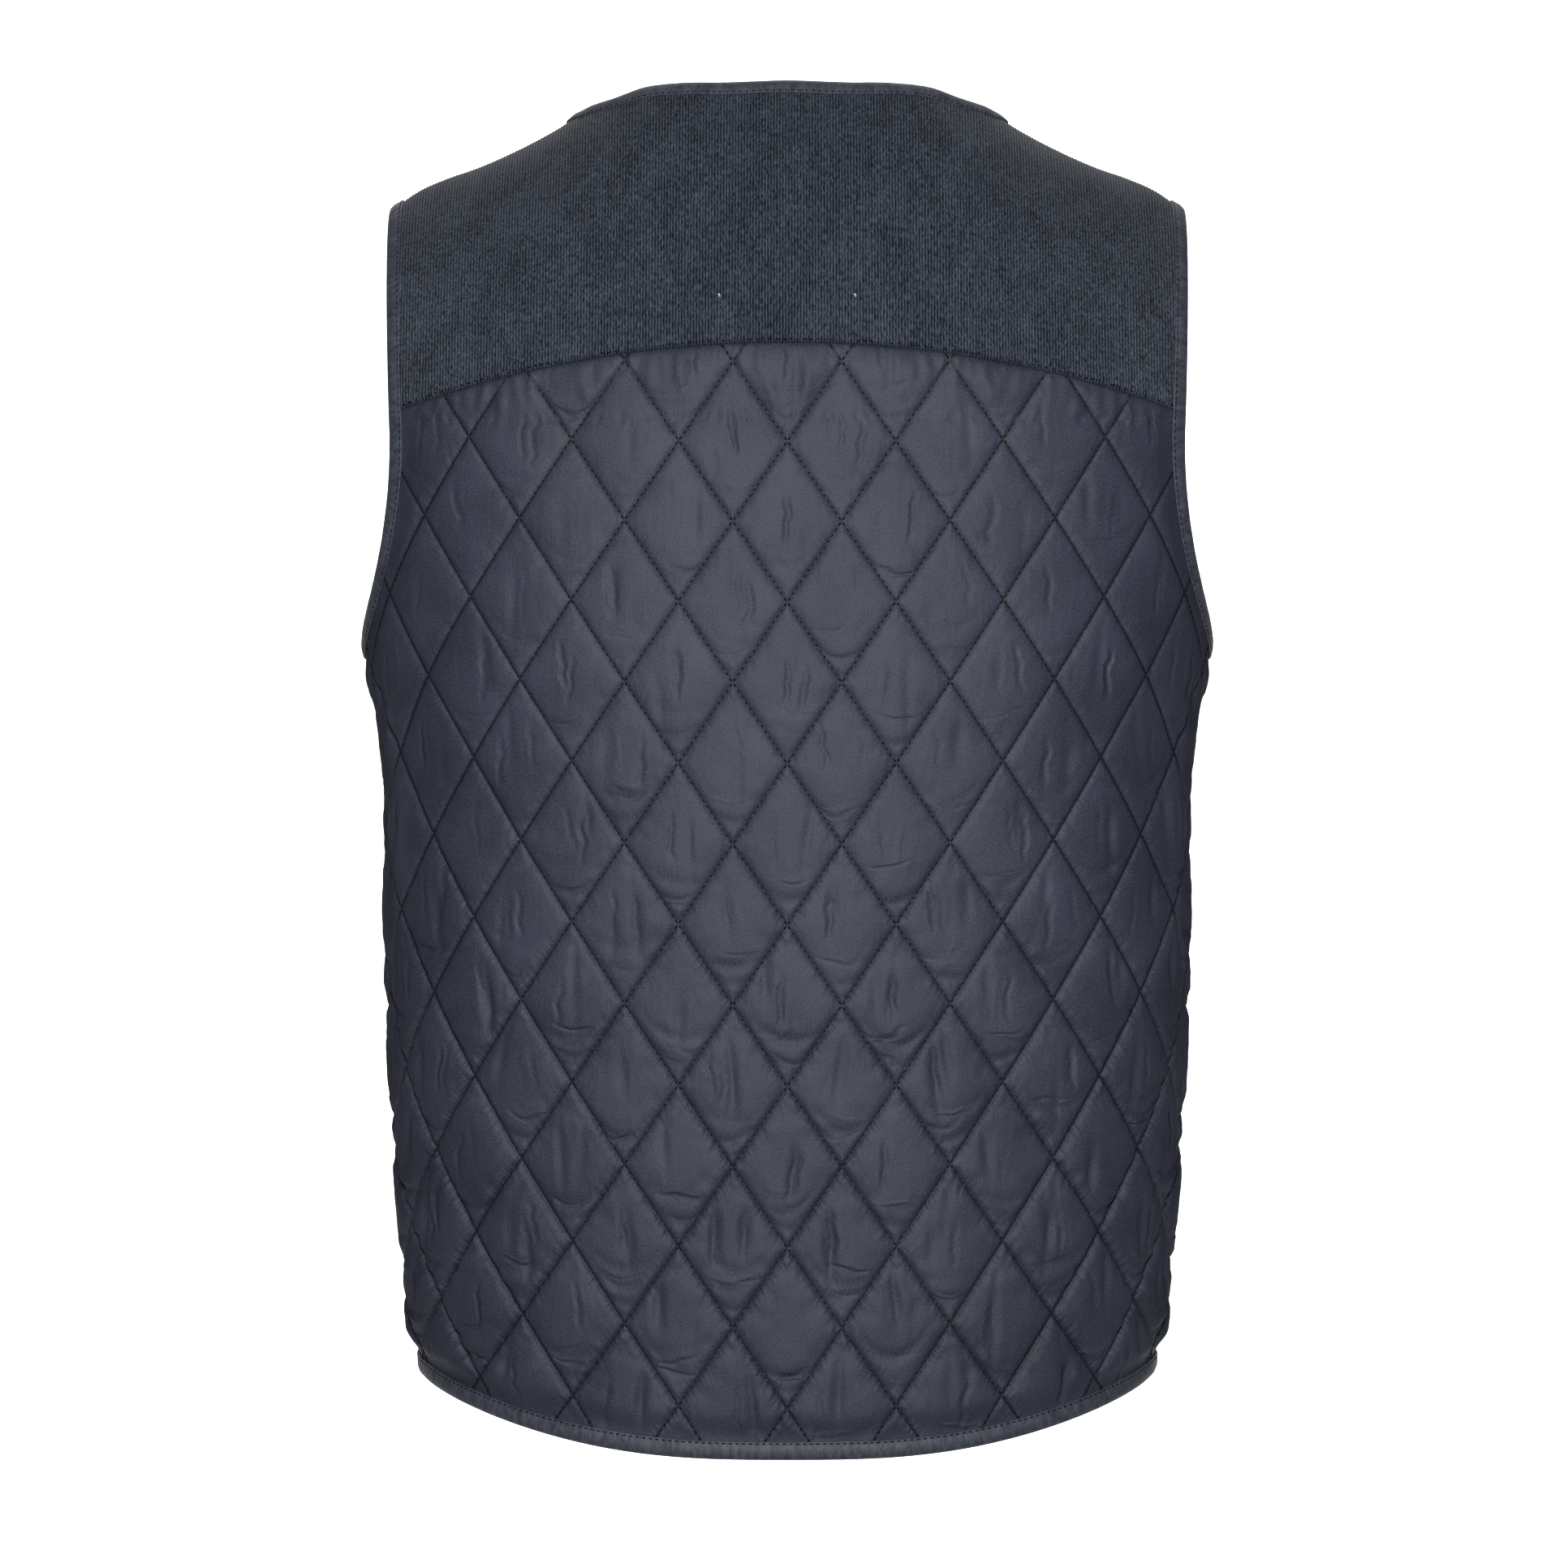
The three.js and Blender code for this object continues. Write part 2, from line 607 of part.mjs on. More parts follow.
// The armhole, from the underarm up the back, over the tip and down the chest
function armholeStations(mirrored) {
  const stations = [];
  const add = (surface, u, v) => stations.push({ surface, u, v });
  const frontSurface = mirrored ? rightSurface : leftSurface;
  const hand = mirrored ? -1 : 1;
  const bottomAngles = steps(0, Math.PI / 2, stationCounts.underarm);
  const bottomPlace = (side, angle) => {
    const z = armhole.start - (armhole.start - armhole.bottom) * Math.cos(angle);
    const reach = sideLength(side, armhole.bottom) - armholeStart[side];
    return { z, around: armholeStart[side] + reach * (1 - Math.sin(angle)) };
  };
  for (const angle of bottomAngles) {
    const { z, around } = bottomPlace('back', angle);
    add(backSurface, hand * around, z);
  }
  for (const turn of steps(0, armSeamTurn, stationCounts.shoulder)) add(yokeSurface, hand * armholeX(turn), turn);
  const seamHeight = archPlace(armholeX(armSeamTurn), armSeamTurn).z;
  for (const z of steps(seamHeight, armhole.start, stationCounts.chest)) {
    const turn = Math.PI - Math.asin(clamp((z - bladeHeight) / (ridgeHeight(armhole.chest) - bladeHeight), 0, 1));
    add(frontSurface, aroundOf('front', armholeX(turn)), z);
  }
  for (const angle of steps(Math.PI / 2, 0, stationCounts.underarm)) {
    const { z, around } = bottomPlace('front', angle);
    add(frontSurface, around, z);
  }
  return mirrored ? stations : stations.reverse();
}

// One front's edge from the shoulder round the neck, down the opening and along the hem to the side seam
function frontStations(surface) {
  const stations = [];
  const add = (u, v) => stations.push({ surface, u, v });
  const cornerAngle = Math.PI / 2;
  const startAngle = Math.asin(cornerRadius / neck.halfWidth);
  for (const angle of steps(neckSeam.angle, startAngle, stationCounts.frontNeck)) {
    const x = neck.halfWidth * Math.sin(angle);
    add(aroundOf('front', x), neck.height - neck.frontDrop * Math.cos(angle));
  }
  for (const angle of steps(0, cornerAngle, stationCounts.corner)) {
    add(neckCorner.around - cornerRadius * Math.sin(angle), neckCorner.z + cornerRadius * Math.cos(angle));
  }
  for (const z of steps(neckCorner.z, hemCorner.z, stationCounts.opening)) add(-lap, z);
  for (const angle of steps(0, cornerAngle, stationCounts.corner)) {
    add(hemCorner.around - cornerRadius * Math.cos(angle), hemCorner.z - cornerRadius * Math.sin(angle));
  }
  for (const around of steps(hemCorner.around, sideLength('front', hem.side), stationCounts.frontHem)) {
    add(around, hemHeight('front', around));
  }
  return stations;
}

function edgeStations() {
  const left = frontStations(leftSurface);
  const right = frontStations(rightSurface).reverse();
  const reach = sideLength('back', hem.side);
  const back = steps(reach, -reach, stationCounts.backHem).concat(-reach).map((around) => (
    { surface: backSurface, u: around, v: hemHeight('back', around) }));
  const neckLine = [];
  for (const angle of steps(-backNeckAngle, backNeckAngle, stationCounts.backNeck).concat(backNeckAngle)) {
    const reachX = Math.abs(Math.sin(angle / 2)) ** (2 / neck.backRoundness);
    neckLine.push({ angle, x: Math.sign(angle) * reachX * neck.halfWidth });
  }
  const overNeck = neckLine.map(({ x }) => {
    const inside = Math.max(1 - (Math.abs(x) / neck.halfWidth) ** neck.backRoundness, 0);
    const y = neck.backReach * inside ** (1 / neck.backRoundness);
    return { surface: yokeSurface, u: x, v: Math.acos(y / bladeDepth('back', x)) };
  });
  const ridgeTurn = Math.PI / 2;
  const forward = (hand) => steps(ridgeTurn + pastRidge, neckSeam.turn, stationCounts.sideNeck).map((turn) => {
    const x = placeWhere((out) => neckOnArch(out, turn), neck.backReach, neck.halfWidth + lap);
    return { surface: yokeSurface, u: hand * x, v: turn };
  });
  return [...left, ...back, ...right, ...forward(-1).reverse(), ...overNeck, ...forward(1)];
}

// Press studs along the centre line: a cap, the socket between the layers, and a plate inside
const studProfiles = {
  cap: [[0, 0], [6.2, 0], [6.2, 0.9], [4.9, 2.1], [2.6, 2.6], [0, 2.7]],
  socket: [[0, 0], [4.4, 0], [4.4, 2.1], [0, 2.1]],
  plate: [[0, 0], [5.4, 0], [5.4, 0.7], [0, 1.2]],
};
const studHeights = { cap: wall + seamGap, socket: -0.5, plate: -lapDrop - seamGap };

function studMesh(kind, z) {
  const profile = studProfiles[kind].map(([radius, height]) => new THREE.Vector2(radius, height));
  const mesh = new THREE.Mesh(new THREE.LatheGeometry(profile, studs.sides), metal);
  const { normal } = surfaceFrame(leftSurface, 0, z);
  const facing = kind === 'cap' ? normal.clone() : normal.clone().negate();
  mesh.quaternion.setFromUnitVectors(new THREE.Vector3(0, 1, 0), facing);
  mesh.position.copy(bodyPlace('front', 0, z)).addScaledVector(normal, studHeights[kind]);
  return mesh;
}

const quiltCloth = new THREE.MeshStandardMaterial({ color: 0x484b57, roughness: 0.5, metalness: 0 });
const corduroy = new THREE.MeshStandardMaterial({ color: 0x383c48, roughness: 0.95, metalness: 0 });
const bindingTape = new THREE.MeshStandardMaterial({ color: 0x44474f, roughness: 0.6, metalness: 0 });
const metal = new THREE.MeshStandardMaterial({ color: 0x3a3d45, roughness: 0.35, metalness: 0.8 });

const vest = new THREE.Group();
function addPiece(name, geometry, material) {
  const mesh = new THREE.Mesh(geometry, material);
  mesh.name = name;
  vest.add(mesh);
}

addPiece('back_yoke', yokePanel(), corduroy);
addPiece('back_panel', backPanel(), quiltCloth);
addPiece('left_front', frontPanel(leftSurface), quiltCloth);
addPiece('right_front', frontPanel(rightSurface), quiltCloth);
addPiece('edge_binding', closedBinding(edgeStations()), bindingTape);
addPiece('armhole_binding_left', closedBinding(armholeStations(false)), bindingTape);
addPiece('armhole_binding_right', closedBinding(armholeStations(true)), bindingTape);
for (let i = 0; i < studs.count; i += 1) {
  for (const kind of ['cap', 'socket', 'plate']) {
    const mesh = studMesh(kind, studs.top - studs.pitch * i);
    mesh.name = `stud_${kind}_${i + 1}`;
    vest.add(mesh);
  }
}

export default vest;
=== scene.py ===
import math

import bpy
import numpy as np
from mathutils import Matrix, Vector


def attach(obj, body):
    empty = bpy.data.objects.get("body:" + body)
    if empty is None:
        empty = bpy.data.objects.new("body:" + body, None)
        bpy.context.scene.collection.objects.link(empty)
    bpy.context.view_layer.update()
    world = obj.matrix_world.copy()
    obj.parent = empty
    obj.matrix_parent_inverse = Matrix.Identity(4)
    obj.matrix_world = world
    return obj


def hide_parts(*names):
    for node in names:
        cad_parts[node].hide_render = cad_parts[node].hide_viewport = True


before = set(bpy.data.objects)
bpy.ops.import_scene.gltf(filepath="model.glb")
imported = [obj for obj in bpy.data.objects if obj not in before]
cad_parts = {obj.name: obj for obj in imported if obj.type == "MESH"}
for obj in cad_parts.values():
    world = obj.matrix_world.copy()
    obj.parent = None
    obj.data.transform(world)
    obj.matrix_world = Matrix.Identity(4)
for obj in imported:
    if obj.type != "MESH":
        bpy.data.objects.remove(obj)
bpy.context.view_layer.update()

# The camera, level with the vest's middle and square to its back
IMAGE_SIZE = 1932
FRAME_WIDTH = 0.8228        # metres seen across the shoulders' plane
CAMERA_DISTANCE = 3.0
CAMERA_HEIGHT = -0.325
VEST_PIXEL = 970            # the vest's middle in the image, whose own middle is half its size
SENSOR = 36.0


def place_camera():
    data = bpy.data.cameras.new("camera")
    camera = bpy.data.objects.new("camera", data)
    bpy.context.scene.collection.objects.link(camera)
    camera.location = (0, CAMERA_DISTANCE, CAMERA_HEIGHT)
    camera.rotation_euler = (math.pi / 2, 0, math.pi)
    data.sensor_width = SENSOR
    data.lens = SENSOR * CAMERA_DISTANCE / FRAME_WIDTH
    data.shift_x = (IMAGE_SIZE / 2 - VEST_PIXEL) / IMAGE_SIZE
    bpy.context.scene.camera = camera


place_camera()

# Sizes in millimetres; meshes are made in metres
MM = 0.001
WALL = 1.8                  # thickness of the cloth, whose inside lies on the body's form
PUFF = 2.2                  # rise of the wadding in the middle of a diamond
PUFF_ROUNDING = 2.7         # from a stitch line, over which the cloth rounds up to its full rise
SEAM_GAP = 0.3              # between a stud's part and the cloth that it sits on
SHUT_SEAM = 0.02            # left between two sewn pieces, too fine to let light through
QUARTER_WIDE = 13.7         # a quarter of a diamond's width and height
QUARTER_HIGH = 20.3
CROSSING_HEIGHT = -152.4    # of the stitch lines' first crossing below the yoke
LAP = 16.0                  # how far each front runs past the middle
LAP_DROP = 5.4              # how far the right front sinks under the left one
LAP_BLEND = (18, 80)        # from the middle, over which it comes level again
STAND = (14, 28)            # no wadding under the studs, full wadding further out
CORNER_RADIUS = 15
ROUNDNESS = 2.3             # power of a section's rounded outline, 2 for an ellipse
BLADE_HEIGHT = -135.0       # of the shoulder blades, above which the body arches over the shoulders

# Form of the body: half widths and depths of sections by height, the shoulders' ridge by width, and
# how much the quilting's rows rise at the sides
SECTION_Z = (-690, -640, -600, -560, -510, -450, -400, -345, -310, -285, -262, -200, -135)
SECTION_HALF_WIDTH = (185.5, 189, 193.2, 196.5, 201.2, 204.8, 207, 207.2, 209, 213, 218.5, 224, 231)
SECTION_BACK = (120, 120.5, 121, 121.5, 122, 122.5, 123, 124, 124.5, 124.5, 124, 120, 113)
SECTION_FRONT = (114, 114, 114, 114, 114, 115, 116, 118, 120, 121, 121, 115, 104)
RIDGE_X = (-40, 0, 40, 56, 72, 88, 100, 107, 120, 140, 160, 178, 192, 207, 240)
RIDGE_HEIGHT = (59.8, 63.8, 59.8, 56.4, 50.1, 38.9, 30.5, 24.8, 16, 5.4, -3.5, -9.8, -16, -26.5, -50)
LIFT_Z = (-700, -650, -590, -450, -150)
LIFT = (15, 13, 7, 4, 4)
LIFT_AT = 163               # distance round at which a row rises by its lift

# Soft upright folds: side, distance round, top, bottom, rise, spread
FOLDS = (
    ("back", 222, -285, -420, 3.0, 9),
    ("back", 238, -330, -560, -2.2, 10),
    ("back", 150, -480, -600, 1.6, 14),
    ("front", 226, -290, -430, 2.6, 10),
    ("front", 170, -400, -570, 1.8, 14),
)

# Outlines of the pieces
NECK_HALF_WIDTH = 107
NECK_HEIGHT = 24.8
NECK_BACK_REACH = 58
NECK_BACK_ROUNDNESS = 2.2
NECK_FRONT_DROP = 99
ARM_TIP = 207
ARM_BLADE = 203.5
ARM_CHEST = 195
ARM_START = -140
ARM_BOTTOM = -250
ARM_FAR = 1.6               # so many widths of the armhole inward, its edge is a long way off
YOKE_SEAM = (-101.6, 30.9, 197)
SHOULDER_SEAM_Y = (-34, -27)
SHOULDER_SEAM_END = -90     # below this height the shoulder seam is a long way off
HEM_SIDE = -630.5
HEM_CENTRE = {"back": -665.5, "front": -649.5}
HEM_SHAPE = 1.65
BODY_PROBE = (0.4, 0.4)     # steps round and up over which a slope is measured
ARCH_PROBE = (0.4, 0.004)   # and across and in turn over the shoulders
LEAST_STEEPNESS = 1e-12
PULL_ROUNDS = 4             # rounds of pulling a point to an edge, and steps that it moves at most in one
PULL_STEPS = 6

SWATCH_SEED = 7
PANEL_SEEDS = {"back_panel": 3, "left_front": 4, "right_front": 5}
YOKE_SEED = 11
SEAM_STITCH_SEED = 17
EDGE_BINDING_SEED = 21
ARMHOLE_BINDING_SEED = 22


def blend(value, low, high):
    """From 0 at low to 1 at high, smooth at both ends."""
    t = np.clip((value - low) / (high - low), 0, 1)
    return t * t * (3 - 2 * t)


def curve_through(keys, values):
    """A smooth function that takes the given values at the given keys."""
    keys = np.array(keys, float)
    values = np.array(values, float)
    last = len(keys) - 1

    def slope(i, j):
        return (values[j] - values[i]) / (keys[j] - keys[i])

    def at(place):
        place = np.clip(place, keys[0], keys[-1])
        i = np.clip(np.searchsorted(keys, place) - 1, 0, last - 1)
        step = keys[i + 1] - keys[i]
        t = (place - keys[i]) / step
        slope_in = slope(np.maximum(i - 1, 0), i + 1) * step
        slope_out = slope(i, np.minimum(i + 2, last)) * step
        smooth = t * t * (3 - 2 * t)
        bend = t * (1 - t) * ((1 - t) * slope_in - t * slope_out)
        return values[i] + (values[i + 1] - values[i]) * smooth + bend
    return at


half_width_at = curve_through(SECTION_Z, SECTION_HALF_WIDTH)
depth_at = {
    "back": curve_through(SECTION_Z, SECTION_BACK),
    "front": curve_through(SECTION_Z, SECTION_FRONT),
}
ridge_height = curve_through(RIDGE_X, RIDGE_HEIGHT)
lift_of_row = curve_through(LIFT_Z, LIFT)

# Distance round a quarter of a section, for each ratio of depth to width
RATIOS = np.linspace(0.4, 0.7, 31)
ANGLES = np.linspace(0, math.pi / 2, 1201)
PARTS = np.linspace(0, 1, 801)


def quarter_tables():
    lengths = []
    angles = []
    for ratio in RATIOS:
        x = np.sin(ANGLES) ** (2 / ROUNDNESS)
        y = ratio * np.cos(ANGLES).clip(0) ** (2 / ROUNDNESS)
        run = np.concatenate([[0], np.cumsum(np.hypot(np.diff(x), np.diff(y)))])
        lengths.append(run[-1])
        angles.append(np.interp(PARTS * run[-1], run, ANGLES))
    return np.array(lengths), np.array(angles)


quarter_lengths, quarter_angles = quarter_tables()


def side_length(side, z):
    z = np.minimum(z, BLADE_HEIGHT)
    width = half_width_at(z)
    return width * np.interp(depth_at[side](z) / width, RATIOS, quarter_lengths)


def section_place(side, z, around):
    width = half_width_at(z)
    depth = depth_at[side](z)
    ratio = depth / width
    length = width * np.interp(ratio, RATIOS, quarter_lengths)
    part = np.abs(around) / length
    past = part > 1
    part = np.where(past, 2 - part, part)
    row = np.clip((ratio - RATIOS[0]) / (RATIOS[1] - RATIOS[0]), 0, len(RATIOS) - 1.001)
    column = np.clip(part, 0, 1) * (len(PARTS) - 1.001)
    i = row.astype(int)
    j = column.astype(int)
    a = row - i
    b = column - j
    angle = ((1 - a) * ((1 - b) * quarter_angles[i, j] + b * quarter_angles[i, j + 1])
             + a * ((1 - b) * quarter_angles[i + 1, j] + b * quarter_angles[i + 1, j + 1]))
    x = width * np.sin(angle).clip(0) ** (2 / ROUNDNESS) * np.sign(around)
    y = depth * np.cos(angle).clip(0) ** (2 / ROUNDNESS) * np.where(past, -1, 1)
    return x, y


def blade_depth(side, x):
    inside = np.clip(1 - (np.abs(x) / half_width_at(BLADE_HEIGHT)) ** ROUNDNESS, 0, 1)
    return depth_at[side](BLADE_HEIGHT) * inside ** (1 / ROUNDNESS)


def arch_place(x, turn):
    depth = np.where(turn < math.pi / 2, blade_depth("back", x), blade_depth("front", x))
    rise = ridge_height(np.abs(x)) - BLADE_HEIGHT
    return np.stack([x, depth * np.cos(turn), BLADE_HEIGHT + rise * np.sin(turn)], -1)


def body_place(side, around, z):
    facing = 1 if side == "back" else -1
    blade = np.full_like(z, BLADE_HEIGHT)
    x, y = section_place(side, np.minimum(z, BLADE_HEIGHT), around)
    top_x, _ = section_place(side, blade, around)
    rise = ridge_height(np.abs(top_x)) - BLADE_HEIGHT
    sine = np.clip((z - BLADE_HEIGHT) / rise, 0, 1)
    turn = np.arcsin(sine) if side == "back" else math.pi - np.arcsin(sine)
    below = np.stack([x, facing * y, z], -1)
    return np.where((z > BLADE_HEIGHT)[..., None], arch_place(top_x, turn), below)


def fold_rise(side, around, z):
    rise = np.zeros_like(z)
    for fold_side, at, top, bottom, height, spread in FOLDS:
        if fold_side != side:
            continue
        across = (np.abs(around) - at) / spread
        along = np.clip((top - z) / (top - bottom), 0, 1)
        rise += height * np.exp(-across * across) * np.sin(math.pi * along) ** 2
    return rise


class Surface:
    """A place function of two coordinates, with its outward normal and the lift of its cloth."""

    def __init__(self, place, facing, probe, lift):
        self.place = place
        self.facing = facing
        self.probe = probe
        self.lift = lift

    def slopes(self, u, v):
        step_u, step_v = self.probe
        along_u = (self.place(u + step_u, v) - self.place(u - step_u, v)) / (2 * step_u)
        along_v = (self.place(u, v + step_v) - self.place(u, v - step_v)) / (2 * step_v)
        return along_u, along_v

    def normal(self, u, v):
        along_u, along_v = self.slopes(u, v)
        normal = np.cross(along_u, along_v) * self.facing
        return normal / np.linalg.norm(normal, axis=-1, keepdims=True)

    def lifted(self, u, v, height):
        u, v = np.broadcast_arrays(np.asarray(u, float), np.asarray(v, float))
        rise = np.asarray(height + self.lift(u, v))
        return self.place(u, v) + self.normal(u, v) * rise[..., None]

    def beside(self, u, v, direction, reach):
        """Coordinates a reach away from u and v, in a direction in space that lies in the cloth."""
        along_u, along_v = self.slopes(u, v)
        uu = (along_u * along_u).sum(-1)
        uv = (along_u * along_v).sum(-1)
        vv = (along_v * along_v).sum(-1)
        in_u = (direction * along_u).sum(-1)
        in_v = (direction * along_v).sum(-1)
        spread = uu * vv - uv * uv
        step_u = (in_u * vv - in_v * uv) / spread
        step_v = (in_v * uu - in_u * uv) / spread
        return u + reach * step_u, v + reach * step_v


def yoke_lift(x, turn):
    return 0 * x


def back_lift(around, z):
    return fold_rise("back", around, z)


def left_lift(around, z):
    return fold_rise("front", around, z)


def right_lift(around, z):
    """The right front lies under the left one along the lap."""
    return fold_rise("front", around, z) - LAP_DROP * (1 - blend(around, *LAP_BLEND))


def back_place(around, z):
    return body_place("back", around, z)


def left_place(around, z):
    return body_place("front", around, z)


def right_place(around, z):
    return body_place("front", -around, z)


yoke_surface = Surface(arch_place, -1, ARCH_PROBE, yoke_lift)
back_surface = Surface(back_place, -1, BODY_PROBE, back_lift)
left_surface = Surface(left_place, 1, BODY_PROBE, left_lift)
right_surface = Surface(right_place, -1, BODY_PROBE, right_lift)


def armhole_x(turn):
    end = np.where(turn < math.pi / 2, ARM_BLADE, ARM_CHEST)
    return end + (ARM_TIP - end) * np.sin(turn)


def around_of(side, x):
    """Distance round at blade height where the body is x to the side."""
    around = np.linspace(0, side_length(side, BLADE_HEIGHT), 2001)
    across, _ = section_place(side, np.full_like(around, BLADE_HEIGHT), around)
    return np.interp(x, across, around)


# Edges of the pieces: zero on the edge and positive in the cloth
def hem_height(side, around):
    part = blend(np.abs(around), 0, side_length(side, HEM_SIDE))
    return HEM_CENTRE[side] + (HEM_SIDE - HEM_CENTRE[side]) * part ** HEM_SHAPE


def armhole_edge(side, around, z):
    start = around_of(side, ARM_BLADE if side == "back" else ARM_CHEST)
    reach = side_length(side, ARM_BOTTOM) - start
    x = np.abs(body_place(side, around, z)[..., 0])
    turn = np.arcsin(np.clip((z - BLADE_HEIGHT) / (ridge_height(x) - BLADE_HEIGHT), 0, 1))
    above = armhole_x(turn if side == "back" else math.pi - turn) - x
    across = (side_length(side, ARM_BOTTOM) - np.abs(around)) / reach
    down = (ARM_START - z) / (ARM_START - ARM_BOTTOM)
    below = (np.hypot(np.minimum(across, ARM_FAR), down) - 1) * reach
    return np.where(z >= ARM_START, above, below)


def neck_front(x, z):
    down = np.minimum(z - NECK_HEIGHT, 0) / NECK_FRONT_DROP
    return (np.hypot(x / NECK_HALF_WIDTH, down) - 1) * NECK_HALF_WIDTH


def neck_back(x, y):
    across = (np.abs(x) / NECK_HALF_WIDTH) ** NECK_BACK_ROUNDNESS
    behind = (np.maximum(y, 0) / NECK_BACK_REACH) ** NECK_BACK_ROUNDNESS
    return ((across + behind) ** (1 / NECK_BACK_ROUNDNESS) - 1) * NECK_HALF_WIDTH


def neck_on_arch(x, turn):
    place = arch_place(x, turn)
    return np.where(turn < math.pi / 2, neck_back(x, place[..., 1]), neck_front(x, place[..., 2]))


def shoulder_seam_y(x):
    part = (np.abs(x) - NECK_HALF_WIDTH) / (ARM_TIP - NECK_HALF_WIDTH)
    return SHOULDER_SEAM_Y[0] + (SHOULDER_SEAM_Y[1] - SHOULDER_SEAM_Y[0]) * part


def yoke_seam_height(x):
    centre, drop, at = YOKE_SEAM
    return centre - drop * (x / at) ** 2


# The fronts' rounded corners, at the neck and the hem
CORNER_PART = CORNER_RADIUS / NECK_HALF_WIDTH
NECK_CORNER_HEIGHT = NECK_HEIGHT - NECK_FRONT_DROP * math.sqrt(1 - CORNER_PART ** 2)
CORNER_AROUND = CORNER_RADIUS - LAP
HEM_CORNER_Z = HEM_CENTRE["front"] + CORNER_RADIUS
NECK_CORNER_Z = NECK_CORNER_HEIGHT - CORNER_RADIUS - 1


def front_edge(around, z):
    x = body_place("front", around, z)[..., 0]
    inside = np.minimum(np.minimum(around + LAP, neck_front(x, z)), z - hem_height("front", around))
    to_hem = CORNER_RADIUS - np.hypot(around - CORNER_AROUND, z - HEM_CORNER_Z)
    to_neck = CORNER_RADIUS - np.hypot(around - CORNER_AROUND, z - NECK_CORNER_Z)
    corner = np.where(z < HEM_CORNER_Z, to_hem, np.where(z > NECK_CORNER_Z, to_neck, inside))
    return np.where(around > CORNER_AROUND, inside, corner)


def back_top_seam(around, z):
    return yoke_seam_height(body_place("back", around, z)[..., 0]) - z


def front_top_seam(around, z):
    place = body_place("front", around, z)
    down = place[..., 2] - SHOULDER_SEAM_END
    return np.where(down > 0, shoulder_seam_y(place[..., 0]) - place[..., 1], -place[..., 1] - down)


def cloth_distance(surface, edge):
    """Distance on the cloth to the line where edge is zero."""
    step_u, step_v = surface.probe

    def distance(u, v):
        along_u, along_v = surface.slopes(u, v)
        slope_u = (edge(u + step_u, v) - edge(u - step_u, v)) / (2 * step_u)
        slope_v = (edge(u, v + step_v) - edge(u, v - step_v)) / (2 * step_v)
        uu = (along_u * along_u).sum(-1)
        uv = (along_u * along_v).sum(-1)
        vv = (along_v * along_v).sum(-1)
        steepness = slope_u ** 2 * vv - 2 * slope_u * slope_v * uv + slope_v ** 2 * uu
        steepness = steepness / (uu * vv - uv * uv)
        return edge(u, v) / np.sqrt(np.maximum(steepness, LEAST_STEEPNESS))
    return distance


def pulled_to(surface, distance, u, v, away):
    """Moves points that lie past the line where distance is zero back onto it."""
    step_u, step_v = surface.probe
    past = away < 0
    for _ in range(PULL_ROUNDS):
        at_u = u[past]
        at_v = v[past]
        here = distance(at_u, at_v)
        slope_u = (distance(at_u + step_u, at_v) - distance(at_u - step_u, at_v)) / (2 * step_u)
        slope_v = (distance(at_u, at_v + step_v) - distance(at_u, at_v - step_v)) / (2 * step_v)
        steepness = slope_u ** 2 * step_u ** 2 + slope_v ** 2 * step_v ** 2
        back_u = here * slope_u * step_u ** 2 / steepness
        back_v = here * slope_v * step_v ** 2 / steepness
        u[past] = at_u - np.clip(back_u, -PULL_STEPS * step_u, PULL_STEPS * step_u)
        v[past] = at_v - np.clip(back_v, -PULL_STEPS * step_v, PULL_STEPS * step_v)


# Quilting: points across a diamond from one stitch line to the next, closer together near the lines
CELL_STEPS = 26
CELL_CROWDING = 0.07
EVEN_STEPS = np.linspace(0, 1, CELL_STEPS + 1)
CELL = 4 * (EVEN_STEPS - CELL_CROWDING * np.sin(2 * math.pi * EVEN_STEPS))
LINE_SPACING = 11.35        # millimetres from a stitch line for each quarter of a diamond
SIDE_RUN = 12.25            # and millimetres along it

# A swatch of a few diamonds, blown up a little in a cloth simulation
SWATCH_CELLS = 3
SWATCH_SCALE = 0.01         # a millimetre of cloth in the simulation's metres
SWATCH_BUMPS = 0.5          # millimetres that the flat swatch is uneven by, to start its wrinkles
SWATCH_FRAMES = 22
SWATCH_CLOTH = {
    "quality": 6,
    "mass": 0.15,
    "tension_stiffness": 20,
    "compression_stiffness": 20,
    "shear_stiffness": 8,
    "bending_stiffness": 0.15,
    "vertex_group_mass": "stitched",
    "use_pressure": True,
    "uniform_pressure_force": 3.0,
    "shrink_min": -0.04,
    "shrink_max": -0.04,
}
WRINKLE_ROUNDS = 14
WRINKLE_SHARE = 0.6         # how much of the swatch's wrinkling shows over thin wadding


def sheet_mesh(name, points, faces, flat=None):
    """A smooth mesh object from points in millimetres and quads, with its flat cloth as UVs."""
    used, order = np.unique(faces, return_inverse=True)
    faces = order.reshape(faces.shape)
    data = bpy.data.meshes.new(name)
    data.vertices.add(len(used))
    data.vertices.foreach_set("co", (points[used] * MM).astype(np.float32).ravel())
    data.loops.add(faces.size)
    data.loops.foreach_set("vertex_index", faces.astype(np.int32).ravel())
    data.polygons.add(len(faces))
    data.polygons.foreach_set("loop_start", np.arange(0, faces.size, faces.shape[1], dtype=np.int32))
    data.update(calc_edges=True)
    data.shade_smooth()
    if flat is not None:
        layer = data.uv_layers.new(name="flat")
        layer.data.foreach_set("uv", flat[used][faces.ravel()].astype(np.float32).ravel())
    thing = bpy.data.objects.new(name, data)
    bpy.context.scene.collection.objects.link(thing)
    return thing


